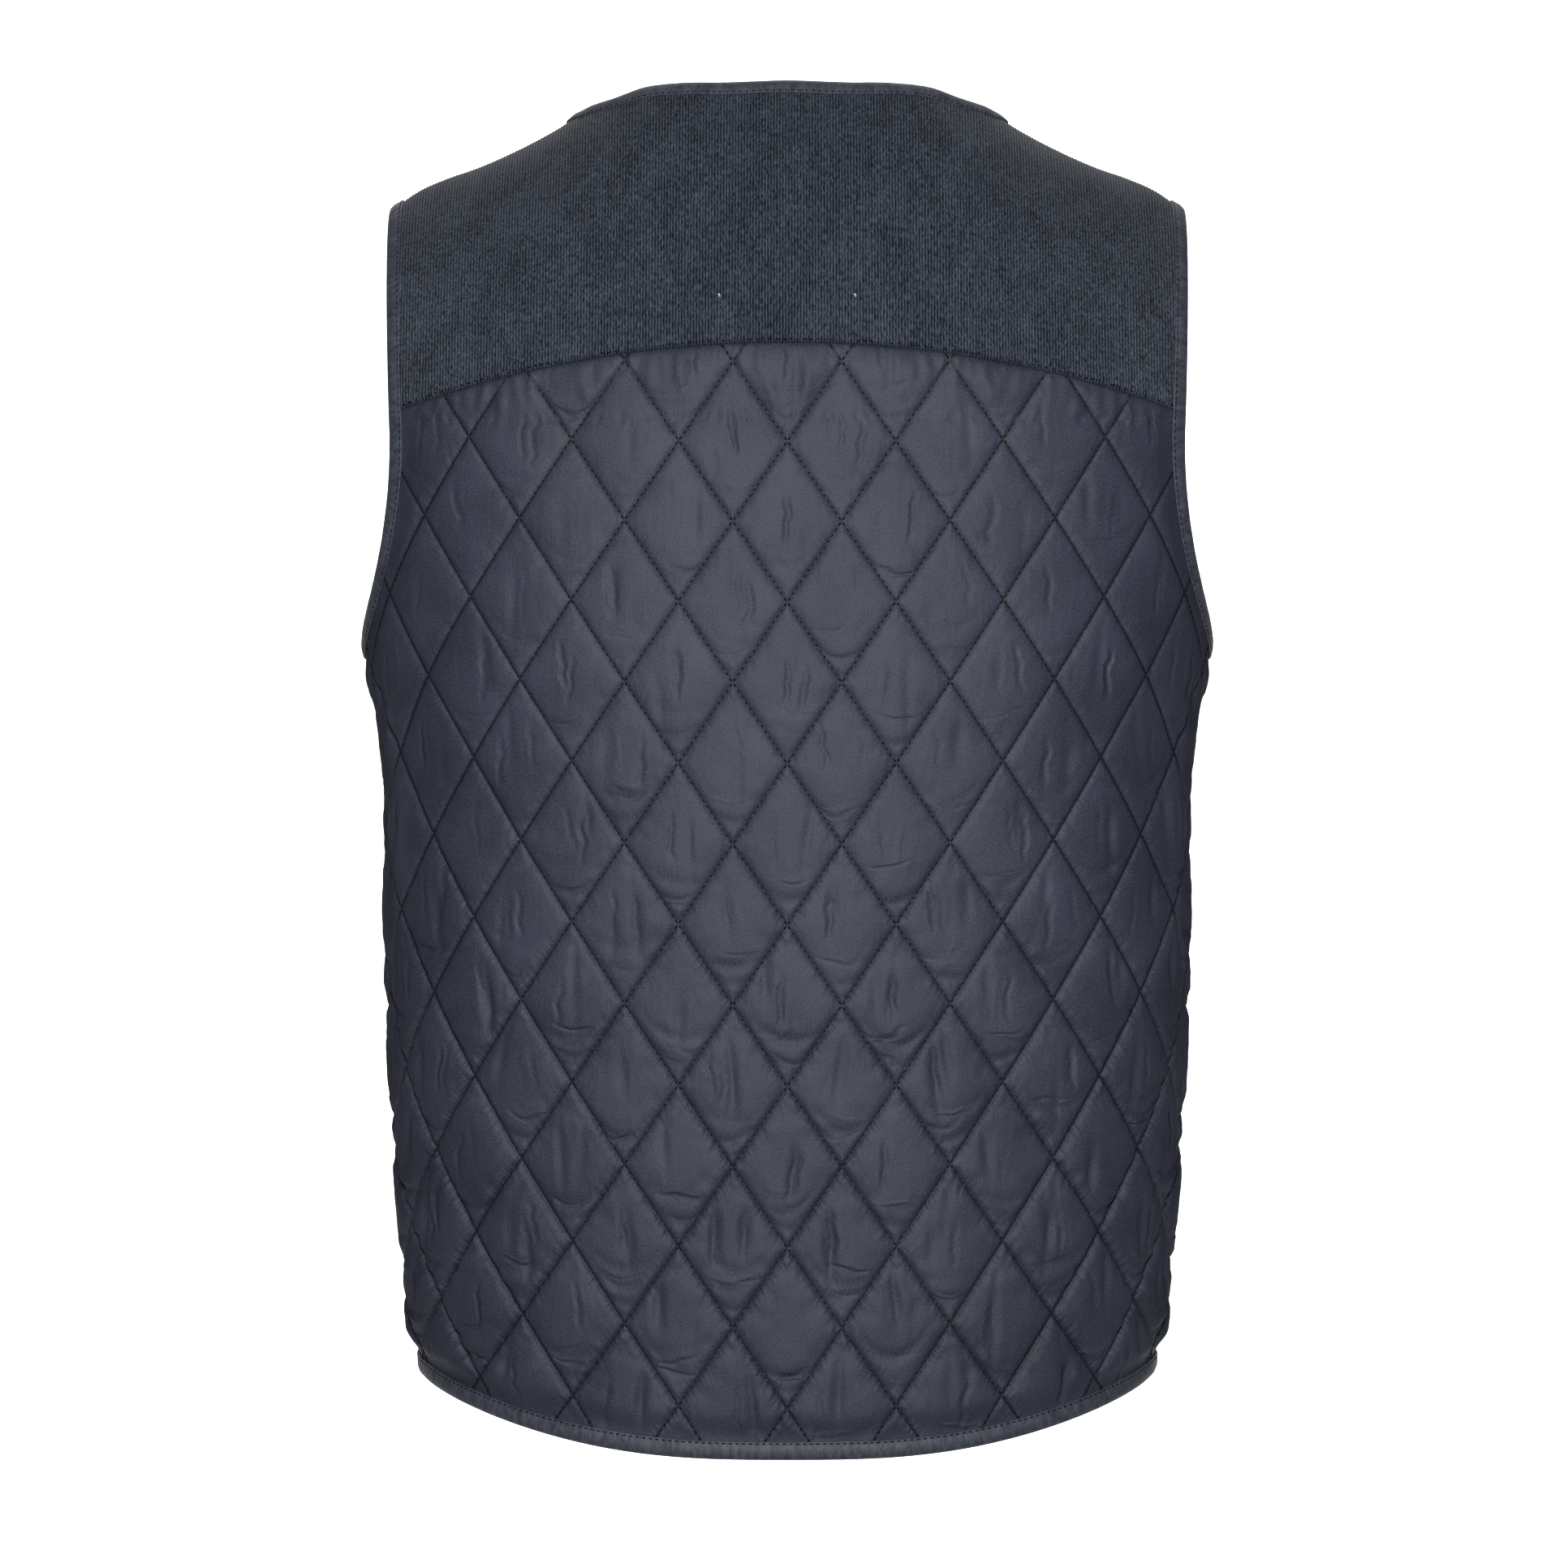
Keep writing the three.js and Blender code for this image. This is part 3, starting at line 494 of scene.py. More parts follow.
def grid_faces(keep):
    rows, columns = keep.shape
    index = np.arange((rows + 1) * (columns + 1)).reshape(rows + 1, columns + 1)
    corners = [index[:-1, :-1], index[1:, :-1], index[1:, 1:], index[:-1, 1:]]
    return np.stack(corners, -1)[keep]


def any_corner(mask):
    return mask[:-1, :-1] | mask[1:, :-1] | mask[1:, 1:] | mask[:-1, 1:]


def steps_across(first, last):
    """Places, in quarters of a diamond, of the mesh's lines across a run of diamonds."""
    return np.append((4 * np.arange(first, last)[:, None] + CELL[:-1]).ravel(), 4 * last)


def swell_diamonds():
    """How far each point of a few diamonds moves (across, up, out) when a flat swatch, held along
    its stitching, is blown up a little and wrinkles."""
    count = SWATCH_CELLS * CELL_STEPS
    lines = steps_across(0, SWATCH_CELLS)
    p, q = np.meshgrid(lines, lines, indexing="ij")
    across = (p + q) / 2 * QUARTER_WIDE
    up = -(p - q) / 2 * QUARTER_HIGH
    start = np.stack([across, up, 0 * across], -1).reshape(-1, 3)
    random = np.random.default_rng(SWATCH_SEED)
    bumpy = start.copy()
    bumpy[:, 2] += random.uniform(0, SWATCH_BUMPS, len(bumpy))
    index = np.arange((count + 1) ** 2).reshape(count + 1, count + 1)
    stitched = np.union1d(index[::CELL_STEPS].ravel(), index[:, ::CELL_STEPS].ravel())
    bumpy[stitched, 2] = 0
    faces = grid_faces(np.ones((count, count), bool))
    swatch = sheet_mesh("swatch", bumpy * SWATCH_SCALE / MM, faces)
    group = swatch.vertex_groups.new(name="stitched")
    group.add([int(i) for i in stitched], 1.0, "REPLACE")
    cloth = swatch.modifiers.new("swell", "CLOTH")
    for setting, value in SWATCH_CLOTH.items():
        setattr(cloth.settings, setting, value)
    cloth.settings.effector_weights.gravity = 0
    cloth.collision_settings.use_collision = False
    for step in range(1, SWATCH_FRAMES + 1):
        bpy.context.scene.frame_set(step)
    drawn = swatch.evaluated_get(bpy.context.evaluated_depsgraph_get())
    places = np.empty(len(start) * 3, np.float32)
    drawn.data.vertices.foreach_get("co", places)
    bpy.context.scene.frame_set(1)
    mesh = swatch.data
    bpy.data.objects.remove(swatch)
    bpy.data.meshes.remove(mesh)
    moved = (places.reshape(-1, 3) / SWATCH_SCALE - start).reshape(count + 1, count + 1, 3)
    cells = []
    for i in range(SWATCH_CELLS):
        for j in range(SWATCH_CELLS):
            low_i = i * CELL_STEPS
            low_j = j * CELL_STEPS
            cells.append(moved[low_i:low_i + CELL_STEPS + 1, low_j:low_j + CELL_STEPS + 1])
    return np.array(cells)


def smoothed(cells, rounds):
    """Evens out wrinkles finer than the cloth would hold, leaving the stitch lines in place."""
    for _ in range(rounds):
        inner = cells[:, 1:-1, 1:-1]
        beside = cells[:, :-2, 1:-1] + cells[:, 2:, 1:-1] + cells[:, 1:-1, :-2] + cells[:, 1:-1, 2:]
        cells[:, 1:-1, 1:-1] = 0.5 * inner + 0.125 * beside
    return cells


def over_thin_wadding(cells):
    """The wrinkles of swollen cloth, laid on diamonds that are nearly flat between their lines."""
    wrinkles = WRINKLE_SHARE * (cells - smoothed(cells.copy(), WRINKLE_ROUNDS))
    off_line = np.minimum(CELL, 4 - CELL) * LINE_SPACING
    rounding = 1 - np.exp(-off_line / PUFF_ROUNDING)
    wrinkles[..., 2] += PUFF * rounding[:, None] * rounding[None, :]
    return wrinkles


def turned_diamonds(cells):
    """The swollen diamonds and their mirror images, left to right and top to bottom."""
    mirrored = cells[:, ::-1, ::-1].transpose(0, 2, 1, 3) * np.array([-1, 1, 1])
    both = np.concatenate([cells, mirrored])
    flipped = both.transpose(0, 2, 1, 3) * np.array([1, -1, 1])
    return np.concatenate([both, flipped])


# Creases, listed one by one: side, place round and height at each end, rise, spread
CREASES = (
    ("back", 12, -112, 5, -140, 1.3, 2.6),
    ("back", -13, -110, -7, -138, 1.2, 2.6),
    ("back", 58, -108, 52, -127, 1.1, 2.4),
    ("back", -64, -108, -60, -126, 1.0, 2.4),
    ("back", 104, -116, 98, -138, 1.2, 2.8),
    ("back", -101, -115, -104, -137, 1.2, 2.8),
    ("back", 146, -124, 143, -142, 1.0, 2.6),
    ("back", -150, -124, -145, -144, 1.1, 2.6),
    ("back", 232, -262, 246, -300, -1.6, 4.0),
    ("back", 224, -272, 233, -318, 1.8, 4.5),
    ("back", -232, -262, -246, -300, -1.6, 4.0),
    ("back", -224, -272, -233, -318, 1.8, 4.5),
    ("back", 250, -322, 226, -338, 1.4, 4.0),
    ("back", -250, -324, -228, -340, 1.4, 4.0),
    ("back", 252, -420, 214, -436, 1.3, 4.2),
    ("back", -252, -418, -214, -432, 1.3, 4.2),
    ("back", 246, -520, 200, -534, 1.2, 4.5),
    ("back", -246, -516, -202, -530, 1.2, 4.5),
    ("back", 240, -596, 190, -602, 1.2, 4.0),
    ("back", -238, -594, -192, -602, 1.2, 4.0),
    ("front", 232, -264, 244, -300, -1.5, 4.0),
    ("front", 222, -274, 230, -316, 1.6, 4.5),
    ("front", 248, -330, 214, -346, 1.3, 4.0),
    ("front", 244, -440, 206, -454, 1.2, 4.5),
    ("front", 236, -560, 196, -570, 1.2, 4.5),
)

# Gathers below a seam, in millimetres
GATHERS = 54
GATHERED_HALF_WIDTH = 215
GATHER_WANDER = 3.2
GATHER_RISE = (0.4, 1.6)
GATHER_SPREAD = (1.4, 2.8)
GATHER_LEAN = 0.25
GATHER_RUN = 13.0
GATHER_RUN_SHARE = (0.6, 1.6)
GATHER_START = 1.5          # from the seam, where a gather has its full rise
GATHER_END = 40             # and where none is left

SEAM_ALLOWANCE = 5.0
SEAM_DIP = 0.9
PANEL_DIP_REACH = 3.5
YOKE_DIP_REACH = 3
EDGE_SET_BACK = 2.1
NECK_SET_BACK = 3.2
PLAIN_EDGE = 8
WAD_RISE = 13
SEAM_WADDING = 0.12         # the share of the wadding that lies right at a seam
ARCH_SHARE = 0.97           # how near the quilting's rows come to the shoulders' ridge
FAR_OUTSIDE = -99.0


def crease_rise(side, around, z):
    rise = np.zeros_like(z)
    for on_side, from_around, from_z, to_around, to_z, height, spread in CREASES:
        if on_side != side:
            continue
        run = np.hypot(to_around - from_around, to_z - from_z)
        step_u = (to_around - from_around) / run
        step_v = (to_z - from_z) / run
        off_u = around - from_around
        off_v = z - from_z
        along = np.clip((off_u * step_u + off_v * step_v) / run, 0, 1)
        across = (off_u * step_v - off_v * step_u) / spread
        rise += height * np.exp(-across * across) * np.sin(math.pi * along) ** 2
    return rise


def gather_rise(around, from_seam, random):
    """Short upright gathers that run out below a seam."""
    rise = np.zeros_like(around)
    fade = np.clip(from_seam / GATHER_START, 0, 1)
    places = np.linspace(-GATHERED_HALF_WIDTH, GATHERED_HALF_WIDTH, GATHERS)
    places += random.uniform(-GATHER_WANDER, GATHER_WANDER, GATHERS)
    for place in places:
        height = random.uniform(*GATHER_RISE)
        spread = random.uniform(*GATHER_SPREAD)
        lean = random.uniform(-GATHER_LEAN, GATHER_LEAN)
        reach = GATHER_RUN * random.uniform(*GATHER_RUN_SHARE)
        across = (around - place - lean * from_seam) / spread
        rise += height * np.exp(-across * across) * fade * np.exp(-(from_seam / reach) ** 2)
    return rise


# Creases in each diamond: what each of them draws evenly from, in millimetres from the middle
UPRIGHT_CREASES = 2
UPRIGHT = {
    "place": (-11, 11),
    "lean": (-0.14, 0.14),
    "middle": (-10, 16),
    "reach": (8, 18),
    "depth": (-0.3, 1.5),
    "spread": (1.4, 2.6),
}
LEVEL_CREASES = 3
LEVEL = {
    "place": (12, 33),
    "smile": (0.01, 0.05),
    "lean": (-0.25, 0.25),
    "depth": (-0.2, 1.1),
    "spread": (1.3, 2.4),
}
LEVEL_REACH = 13

# More creases and fuller wadding low down and to the sides: a gain, where it starts and is whole
CREASES_LEAST = 0.65
CREASES_LOW = (1.4, 260, 560)
CREASES_ASIDE = (0.7, 90, 240)
FULLER_LOW = (0.55, 260, 600)
FULLER_ASIDE = (0.9, 60, 190)


def diamond_creases(across, up, cell_i, cell_j, random):
    """Soft upright creases high in each diamond and level ones near its lower corner, in
    millimetres from the diamond's middle, different in every diamond."""
    shape = (cell_i.max() + 1, cell_j.max() + 1)

    def varied(kind):
        drawn = {}
        for value, ends in kind.items():
            drawn[value] = random.uniform(*ends, shape)[cell_i, cell_j]
        return drawn

    rise = np.zeros_like(across)
    for _ in range(UPRIGHT_CREASES):
        one = varied(UPRIGHT)
        off = (across - one["place"] - one["lean"] * up) / one["spread"]
        along = (up - one["middle"]) / one["reach"]
        rise -= one["depth"].clip(0) * np.exp(-off ** 2 - along ** 2)
    for _ in range(LEVEL_CREASES):
        one = varied(LEVEL)
        off = up + one["place"] - one["smile"] * across ** 2 - one["lean"] * across
        off /= one["spread"]
        rise -= one["depth"].clip(0) * np.exp(-off ** 2 - (across / LEVEL_REACH) ** 2)
    return rise


def growing(gain, distance):
    """A gain, given with where it starts and where it is whole, at a distance."""
    most, start, whole = gain
    return most * blend(distance, start, whole)


def more_low_and_aside(u, v):
    return CREASES_LEAST + growing(CREASES_LOW, -v) + growing(CREASES_ASIDE, np.abs(u))


def fullness(u, v):
    """How much more than its usual rise the quilting swells toward the hem's sides."""
    most, start, whole = FULLER_LOW
    return 1 + blend(-v, start, whole) * (most + growing(FULLER_ASIDE, np.abs(u)))


def arch_top(side, around):
    x, _ = section_place(side, np.full_like(around, BLADE_HEIGHT), around)
    return BLADE_HEIGHT + ARCH_SHARE * (ridge_height(np.abs(x)) - BLADE_HEIGHT)


def quilt_place(side, column, row):
    """The cloth's coordinates of a place in the quilting, given in quarters of a diamond."""
    around = column * QUARTER_WIDE
    level = CROSSING_HEIGHT - row * QUARTER_HIGH
    raised = level + lift_of_row(level) * (around / LIFT_AT) ** 2
    return around, np.minimum(raised, arch_top(side, around))


class QuiltedPanel:
    """One cut piece of quilted cloth: where it lies, its sewn seams and its bound edges."""

    def __init__(self, name, surface, side, columns, rows, sewn, bound):
        self.name = name
        self.surface = surface
        self.side = side
        self.columns = columns
        self.rows = rows
        self.seams = [cloth_distance(surface, edge) for edge in sewn]
        self.edges = [cloth_distance(surface, edge) for edge in bound]

    def from_seam(self, u, v):
        return np.min([seam(u, v) for seam in self.seams], 0) - SHUT_SEAM / 2

    def from_edge(self, u, v):
        return np.min([edge(u, v) for edge in self.edges], 0) - EDGE_SET_BACK

    def room(self, u, seam, edge):
        """How full the wadding is: none along edges, seams and the stand of the studs."""
        stand = blend(np.abs(u), *STAND) if self.side == "front" else 1
        by_edge = blend(edge, PLAIN_EDGE, PLAIN_EDGE + WAD_RISE)
        by_seam = SEAM_WADDING + (1 - SEAM_WADDING) * blend(seam, 0, WAD_RISE)
        return stand * by_edge * by_seam

    def folds(self, u, v):
        return crease_rise(self.side, u, v)

    def cut_out(self, column, row, u, v):
        """The piece's quads, the points that they use, and how far each lies from seam and edge."""
        near = (column >= self.columns[0]) & (column <= self.columns[1])
        near &= (row >= self.rows[0]) & (row <= self.rows[1])
        seam = np.full(u.shape, FAR_OUTSIDE)
        edge = np.full(u.shape, FAR_OUTSIDE)
        seam[near] = self.from_seam(u[near], v[near])
        edge[near] = self.from_edge(u[near], v[near])
        keep = any_corner(near & (seam > -SEAM_ALLOWANCE)) & any_corner(near & (edge > 0))
        keep &= ~any_corner(~near)
        faces = grid_faces(keep)
        used = np.unique(faces)
        return faces, used, seam.ravel()[used], edge.ravel()[used]

    def swelling(self, diamonds, random, first, column, row, used, u, v):
        """How far the wadding and the creases move each point across, up and out."""
        rows, columns = column.shape
        cell_i = np.arange(rows) // CELL_STEPS
        cell_j = np.arange(columns) // CELL_STEPS
        kinds = random.integers(0, len(diamonds), (cell_i[-1] + 1, cell_j[-1] + 1))
        kind = kinds[cell_i[:, None], cell_j[None, :]]
        place_i = (np.arange(rows) % CELL_STEPS)[:, None]
        place_j = (np.arange(columns) % CELL_STEPS)[None, :]
        moved = diamonds[kind, place_i, place_j].reshape(-1, 3)[used]
        middle_p = (4 * (cell_i + first[0]) + 2)[:, None]
        middle_q = (4 * (cell_j + first[1]) + 2)[None, :]
        own_column = column - (middle_p + middle_q) / 2
        own_row = row - (middle_p - middle_q) / 2
        each_i, each_j = np.broadcast_arrays(cell_i[:, None], cell_j[None, :])
        creases = diamond_creases(
            own_column.ravel()[used] * QUARTER_WIDE, -own_row.ravel()[used] * QUARTER_HIGH,
            each_i.ravel()[used], each_j.ravel()[used], random)
        creases *= more_low_and_aside(u, v) * np.clip(moved[:, 2] / PUFF, 0, 1)
        moved[:, 2] = moved[:, 2] * fullness(u, v) + creases
        return moved

    def facing_out(self, faces, used, places, u, v):
        """The quads, in the order of corners that turns their outside to the world."""
        corners = np.searchsorted(used, faces[len(faces) // 2][:3])
        a, b, c = places[corners]
        one = slice(corners[0], corners[0] + 1)
        outward = self.surface.normal(u[one], v[one])[0]
        return faces if np.dot(np.cross(b - a, c - a), outward) >= 0 else faces[:, ::-1]

    def make(self, diamonds, seed):
        left, right = self.columns
        top, bottom = self.rows
        first = (math.floor((left + top) / 4), math.floor((left - bottom) / 4))
        last = (math.ceil((right + bottom) / 4), math.ceil((right - top) / 4))
        steps = [steps_across(low, high) for low, high in zip(first, last)]
        p, q = np.meshgrid(*steps, indexing="ij")
        column = (p + q) / 2
        row = (p - q) / 2
        grid_u, grid_v = quilt_place(self.side, column, row)
        faces, used, seam, edge = self.cut_out(column, row, grid_u, grid_v)
        u = grid_u.ravel()[used]
        v = grid_v.ravel()[used]
        pulled_to(self.surface, self.from_seam, u, v, seam)
        pulled_to(self.surface, self.from_edge, u, v, edge)
        random = np.random.default_rng(seed)
        moved = self.swelling(diamonds, random, first, column, row, used, u, v)
        moved = moved * self.room(u, seam, edge)[:, None]
        height = WALL + moved[:, 2] + self.folds(u, v)
        if self.side == "back":
            below_seam = self.seams[0](u, v)
            gathers = gather_rise(u, np.clip(below_seam, 0, None), random)
            height += gathers * (below_seam < GATHER_END)
        turned_in = np.clip(-seam, 0, SEAM_ALLOWANCE)
        height -= SEAM_DIP * (1 - blend(seam, 0, PANEL_DIP_REACH)) + turned_in
        places = self.surface.lifted(u + moved[:, 0], v + moved[:, 1], height)
        points = np.zeros((column.size, 3))
        points[used] = places
        flat = np.stack([column.ravel() * QUARTER_WIDE, -row.ravel() * QUARTER_HIGH], -1)
        return sheet_mesh(self.name, points, self.facing_out(faces, used, places, u, v), flat)


BACK_SEAMS = [back_top_seam, lambda u, v: side_length("back", v) - np.abs(u)]
BACK_EDGES = [lambda u, v: armhole_edge("back", u, v), lambda u, v: v - hem_height("back", u)]
FRONT_SEAMS = [front_top_seam, lambda u, v: side_length("front", v) - u]
FRONT_EDGES = [lambda u, v: armhole_edge("front", u, v), front_edge]
BACK_REACH = ((-23, 23), (-3, 28))      # columns and rows of quarter diamonds that the cloth spans
FRONT_REACH = ((-3, 23), (-11, 28))
BACK_CUT = ("back", *BACK_REACH, BACK_SEAMS, BACK_EDGES)
FRONT_CUT = ("front", *FRONT_REACH, FRONT_SEAMS, FRONT_EDGES)
back_panel = QuiltedPanel("back_panel_quilted", back_surface, *BACK_CUT)
left_front = QuiltedPanel("left_front_quilted", left_surface, *FRONT_CUT)
right_front = QuiltedPanel("right_front_quilted", right_surface, *FRONT_CUT)


# Corduroy yoke: each wale is a real ridge along the cloth
WALE = 1.5
WALE_COLUMNS = 4
WALE_RISE = 0.42
YOKE_ROWS = 66
ROW_CROWDING = 0.11         # how much closer together the rows lie near the two seams
YOKE_FLAT_HEIGHT = 200
YOKE_GATHER_SHARE = 0.45    # of the quilted panel's gathers
TUCK_PITCH = 4.2
TUCK_RISE = (0.5, 0.8)      # the same all along, and varied
TUCK_START = (0.3, 1.6)     # from the seam, over which tucks rise
TUCK_END = (2.6, 6)         # and over which they end

# Where the shoulder seam meets the neck and the armhole, as turns over the shoulder and as an angle
# round the front neck
NECK_SEAM_TURN = 1.933
NECK_SEAM_ANGLE = 1.455
ARM_SEAM_TURN = 2.1


def corduroy_yoke(name):
    """The yoke from its back seam over both shoulders to the forward seams, with every wale in it."""
    count = round(2 * ARM_TIP / WALE) * WALE_COLUMNS
    x = np.linspace(-ARM_TIP, ARM_TIP, count + 1)
    rise = ridge_height(np.abs(x)) - BLADE_HEIGHT
    back_turn = np.arcsin((yoke_seam_height(x) - BLADE_HEIGHT) / rise)
    front_turn = np.arccos(shoulder_seam_y(x) / blade_depth("front", x))
    even = np.linspace(0, 1, YOKE_ROWS + 1)[1:-1]
    crowded = even - ROW_CROWDING * np.sin(2 * math.pi * even)
    part = np.concatenate([np.zeros(3), crowded, np.ones(3)])
    turned_in = np.zeros(len(part))
    turned_in[[0, -1]] = SEAM_ALLOWANCE
    turned_in[[1, -2]] = SEAM_ALLOWANCE / 2
    u, share = np.meshgrid(x, part)
    v = back_turn + (front_turn - back_turn) * share
    fall = np.broadcast_to(turned_in[:, None], u.shape)
    neck = cloth_distance(yoke_surface, neck_on_arch)
    arm = cloth_distance(yoke_surface, lambda x, turn: armhole_x(turn) - np.abs(x))

    def above_back_seam(x, turn):
        return arch_place(x, turn)[..., 2] - yoke_seam_height(x)

    def behind_front_seam(x, turn):
        return arch_place(x, turn)[..., 1] - shoulder_seam_y(x)

    from_back = cloth_distance(yoke_surface, above_back_seam)
    from_front = cloth_distance(yoke_surface, behind_front_seam)

    def inside(x, turn):
        return np.minimum(neck(x, turn) - NECK_SET_BACK, arm(x, turn) - EDGE_SET_BACK)

    away = inside(u, v)
    faces = grid_faces(any_corner(away > 0))
    used = np.unique(faces)
    at_u = u.ravel()[used]
    at_v = v.ravel()[used]
    off = away.ravel()[used]
    pulled_to(yoke_surface, inside, at_u, at_v, off)
    seam = np.minimum(from_back(at_u, at_v), from_front(at_u, at_v))
    wale = 0.5 + 0.5 * np.cos(2 * math.pi * at_u / WALE)
    random = np.random.default_rng(YOKE_SEED)
    waves = gather_rise(at_u, np.clip(seam, 0, None), random) * YOKE_GATHER_SHARE
    tucks = TUCK_RISE[0] + TUCK_RISE[1] * ripple(at_u + ARM_TIP, 2 * ARM_TIP, TUCK_PITCH, random)
    waves += tucks * blend(seam, *TUCK_START) * (1 - blend(seam, *TUCK_END))
    dip = SEAM_DIP * (1 - blend(seam, 0, YOKE_DIP_REACH))
    height = WALL + waves - dip + WALE_RISE * wale - fall.ravel()[used]
    points = np.zeros((u.size, 3))
    points[used] = yoke_surface.lifted(at_u, at_v, height)
    flat = np.stack([u.ravel(), share.ravel() * YOKE_FLAT_HEIGHT], -1)
    return sheet_mesh(name, points, faces, flat)


# Bindings: the section from the turned-under edge outside, round the fold, to the one inside
BINDING_SECTION = (
    (8.2, 1.9), (9.1, 2.0), (9.35, 2.5), (9.1, 2.95), (8.4, 2.85), (7.7, 2.95), (6.6, 3.3), (4.6, 3.55),
    (2.8, 3.45), (1.3, 3.1), (0.3, 2.3), (0.0, 1.1), (0.3, -0.2), (1.5, -1.2), (4.0, -1.5), (6.8, -1.5),
    (8.0, -1.2), (9.0, -1.5), (9.2, -1.1), (8.4, -0.9),
)
STATION_STEP = 2.4
OUTER_TURN = 9              # how far in from the fold the binding's rounded outside reaches
TURNED_EDGE = 7             # further in than this is the turned-under edge, which wanders

# Unevenness of a binding, each a size and a pitch
BINDING_WANDER = (0.22, 23)
BINDING_PLUMP = (0.20, 9)
BINDING_PUCKER = (0.12, 4)

# Stitches, in millimetres
EDGE_STITCH = (8.35, 2.95)  # where the edge stitch lies on the binding's section
STITCH_PITCH = 3.4
STITCH_OUT = 0.15
QUILT_STITCH_LENGTH = 2.4
THREAD_WIDTH = 0.95
EDGE_STITCH_LENGTH = 2.2
EDGE_THREAD_WIDTH = 0.7
STITCHES_A_SIDE = 14        # to one side of a diamond
STITCH_PROBE = 0.1          # quarters of a diamond each way, over which a stitch's direction is found
LINES_REACH = 100           # quarters of a diamond each way, more than any panel spans
STITCH_FREE = (1.2, 5.5, 0.5)       # no stitch nearer to a seam, an edge or the shoulders' ridge
THREAD_SINK = 0.7           # how deep a stitch's ends go in, in thread widths
THREAD_SHOULDER = 0.30      # where its rounded ends begin, as a share of its length
THREAD_FLATNESS = 0.9
OUTWARD_FROM = (0.55, 0.1, -110)    # shares of x and y, and the highest z, of where outward starts

# How many points trace each part of the lines that the bindings follow
UNDER_ARM_POINTS = 80
OVER_ARM_POINTS = 120
CHEST_POINTS = 40
NECK_POINTS = 120
CORNER_POINTS = 12
DOWN_POINTS = 100
HEM_POINTS = 300
SHOULDER_POINTS = 30
BACK_NECK_POINTS = 201
BACK_NECK_SPAN = 3.05       # radians of the back neck's rounded line, which ends at the ridge
RIDGE_CLEAR = 0.02          # radians past the ridge at which the front neck's line begins
NECK_SEARCH = np.linspace(60, 140, 1601)


class BindingLine:
    """The closed line that a binding's fold follows, as stations on each surface that it crosses."""

    def __init__(self, runs):
        self.runs = []
        for surface, u, v in runs:
            run = np.linalg.norm(np.diff(surface.lifted(u, v, 0), axis=0), axis=1)
            along = np.concatenate([[0], np.cumsum(run)])
            count = max(int(round(along[-1] / STATION_STEP)), 2)
            even = np.linspace(0, along[-1], count, endpoint=False)
            self.runs.append((surface, np.interp(even, along, u), np.interp(even, along, v)))
        places = np.concatenate([surface.lifted(u, v, 0) for surface, u, v in self.runs])
        along = np.roll(places, -1, 0) - np.roll(places, 1, 0)
        self.along = along / np.linalg.norm(along, axis=1, keepdims=True)
        steps = np.linalg.norm(np.roll(places, -1, 0) - places, axis=1)
        self.distance = np.concatenate([[0], np.cumsum(steps)])
        self.length = self.distance[-1]

    def beside(self, reach, height):
        """Points all along the line, a reach into the cloth and a height over its inside."""
        found = []
        start = 0
        for surface, u, v in self.runs:
            rows = slice(start, start + len(u))
            inward = np.cross(surface.normal(u, v), self.along[rows])
            inward /= np.linalg.norm(inward, axis=1, keepdims=True)
            at_u, at_v = surface.beside(u, v, inward, reach[rows])
            found.append(surface.lifted(at_u, at_v, height[rows]))
            start += len(u)
        return np.concatenate(found)


def ripple(distance, length, pitch, random):
    """Smooth noise along a closed line, about one wave to each pitch."""
    waves = max(int(length / pitch), 3)
    values = random.uniform(-1, 1, waves)
    values = np.append(values, values[0])
    place = distance / length * waves
    i = np.floor(place).astype(int) % waves
    t = place - np.floor(place)
    t = t * t * (3 - 2 * t)
    return values[i] * (1 - t) + values[i + 1] * t


def binding_mesh(name, line, seed):
    """A folded strip all along a closed line, a little uneven as sewn bindings are."""
    random = np.random.default_rng(seed)
    at = line.distance[:-1]

    def rippled(size, pitch):
        return size * ripple(at, line.length, pitch, random)

    wander = rippled(*BINDING_WANDER)
    plump = rippled(*BINDING_PLUMP) + rippled(*BINDING_PUCKER)
    rings = []
    for reach, height in BINDING_SECTION:
        middle = math.sin(math.pi * min(reach, OUTER_TURN) / OUTER_TURN) if height > 0 else 0
        outer = 1 if reach > TURNED_EDGE else 0
        rings.append(line.beside(np.full(len(at), reach) + wander * outer, height + plump * middle))
    points = np.stack(rings, 1)
    count, ring, _ = points.shape
    index = np.arange(count * ring).reshape(count, ring)
    following = np.roll(index, -1, 0)
    corners = [index[:, :-1], index[:, 1:], following[:, 1:], following[:, :-1]]
    faces = np.stack(corners, -1).reshape(-1, 4)
    section = np.array(BINDING_SECTION)
    girth = np.concatenate([[0], np.cumsum(np.hypot(*np.diff(section, axis=0).T))])
    flat = np.stack(np.broadcast_arrays(at[:, None], girth[None, :]), -1)
    return sheet_mesh(name, points.reshape(-1, 3), faces, flat.reshape(-1, 2))


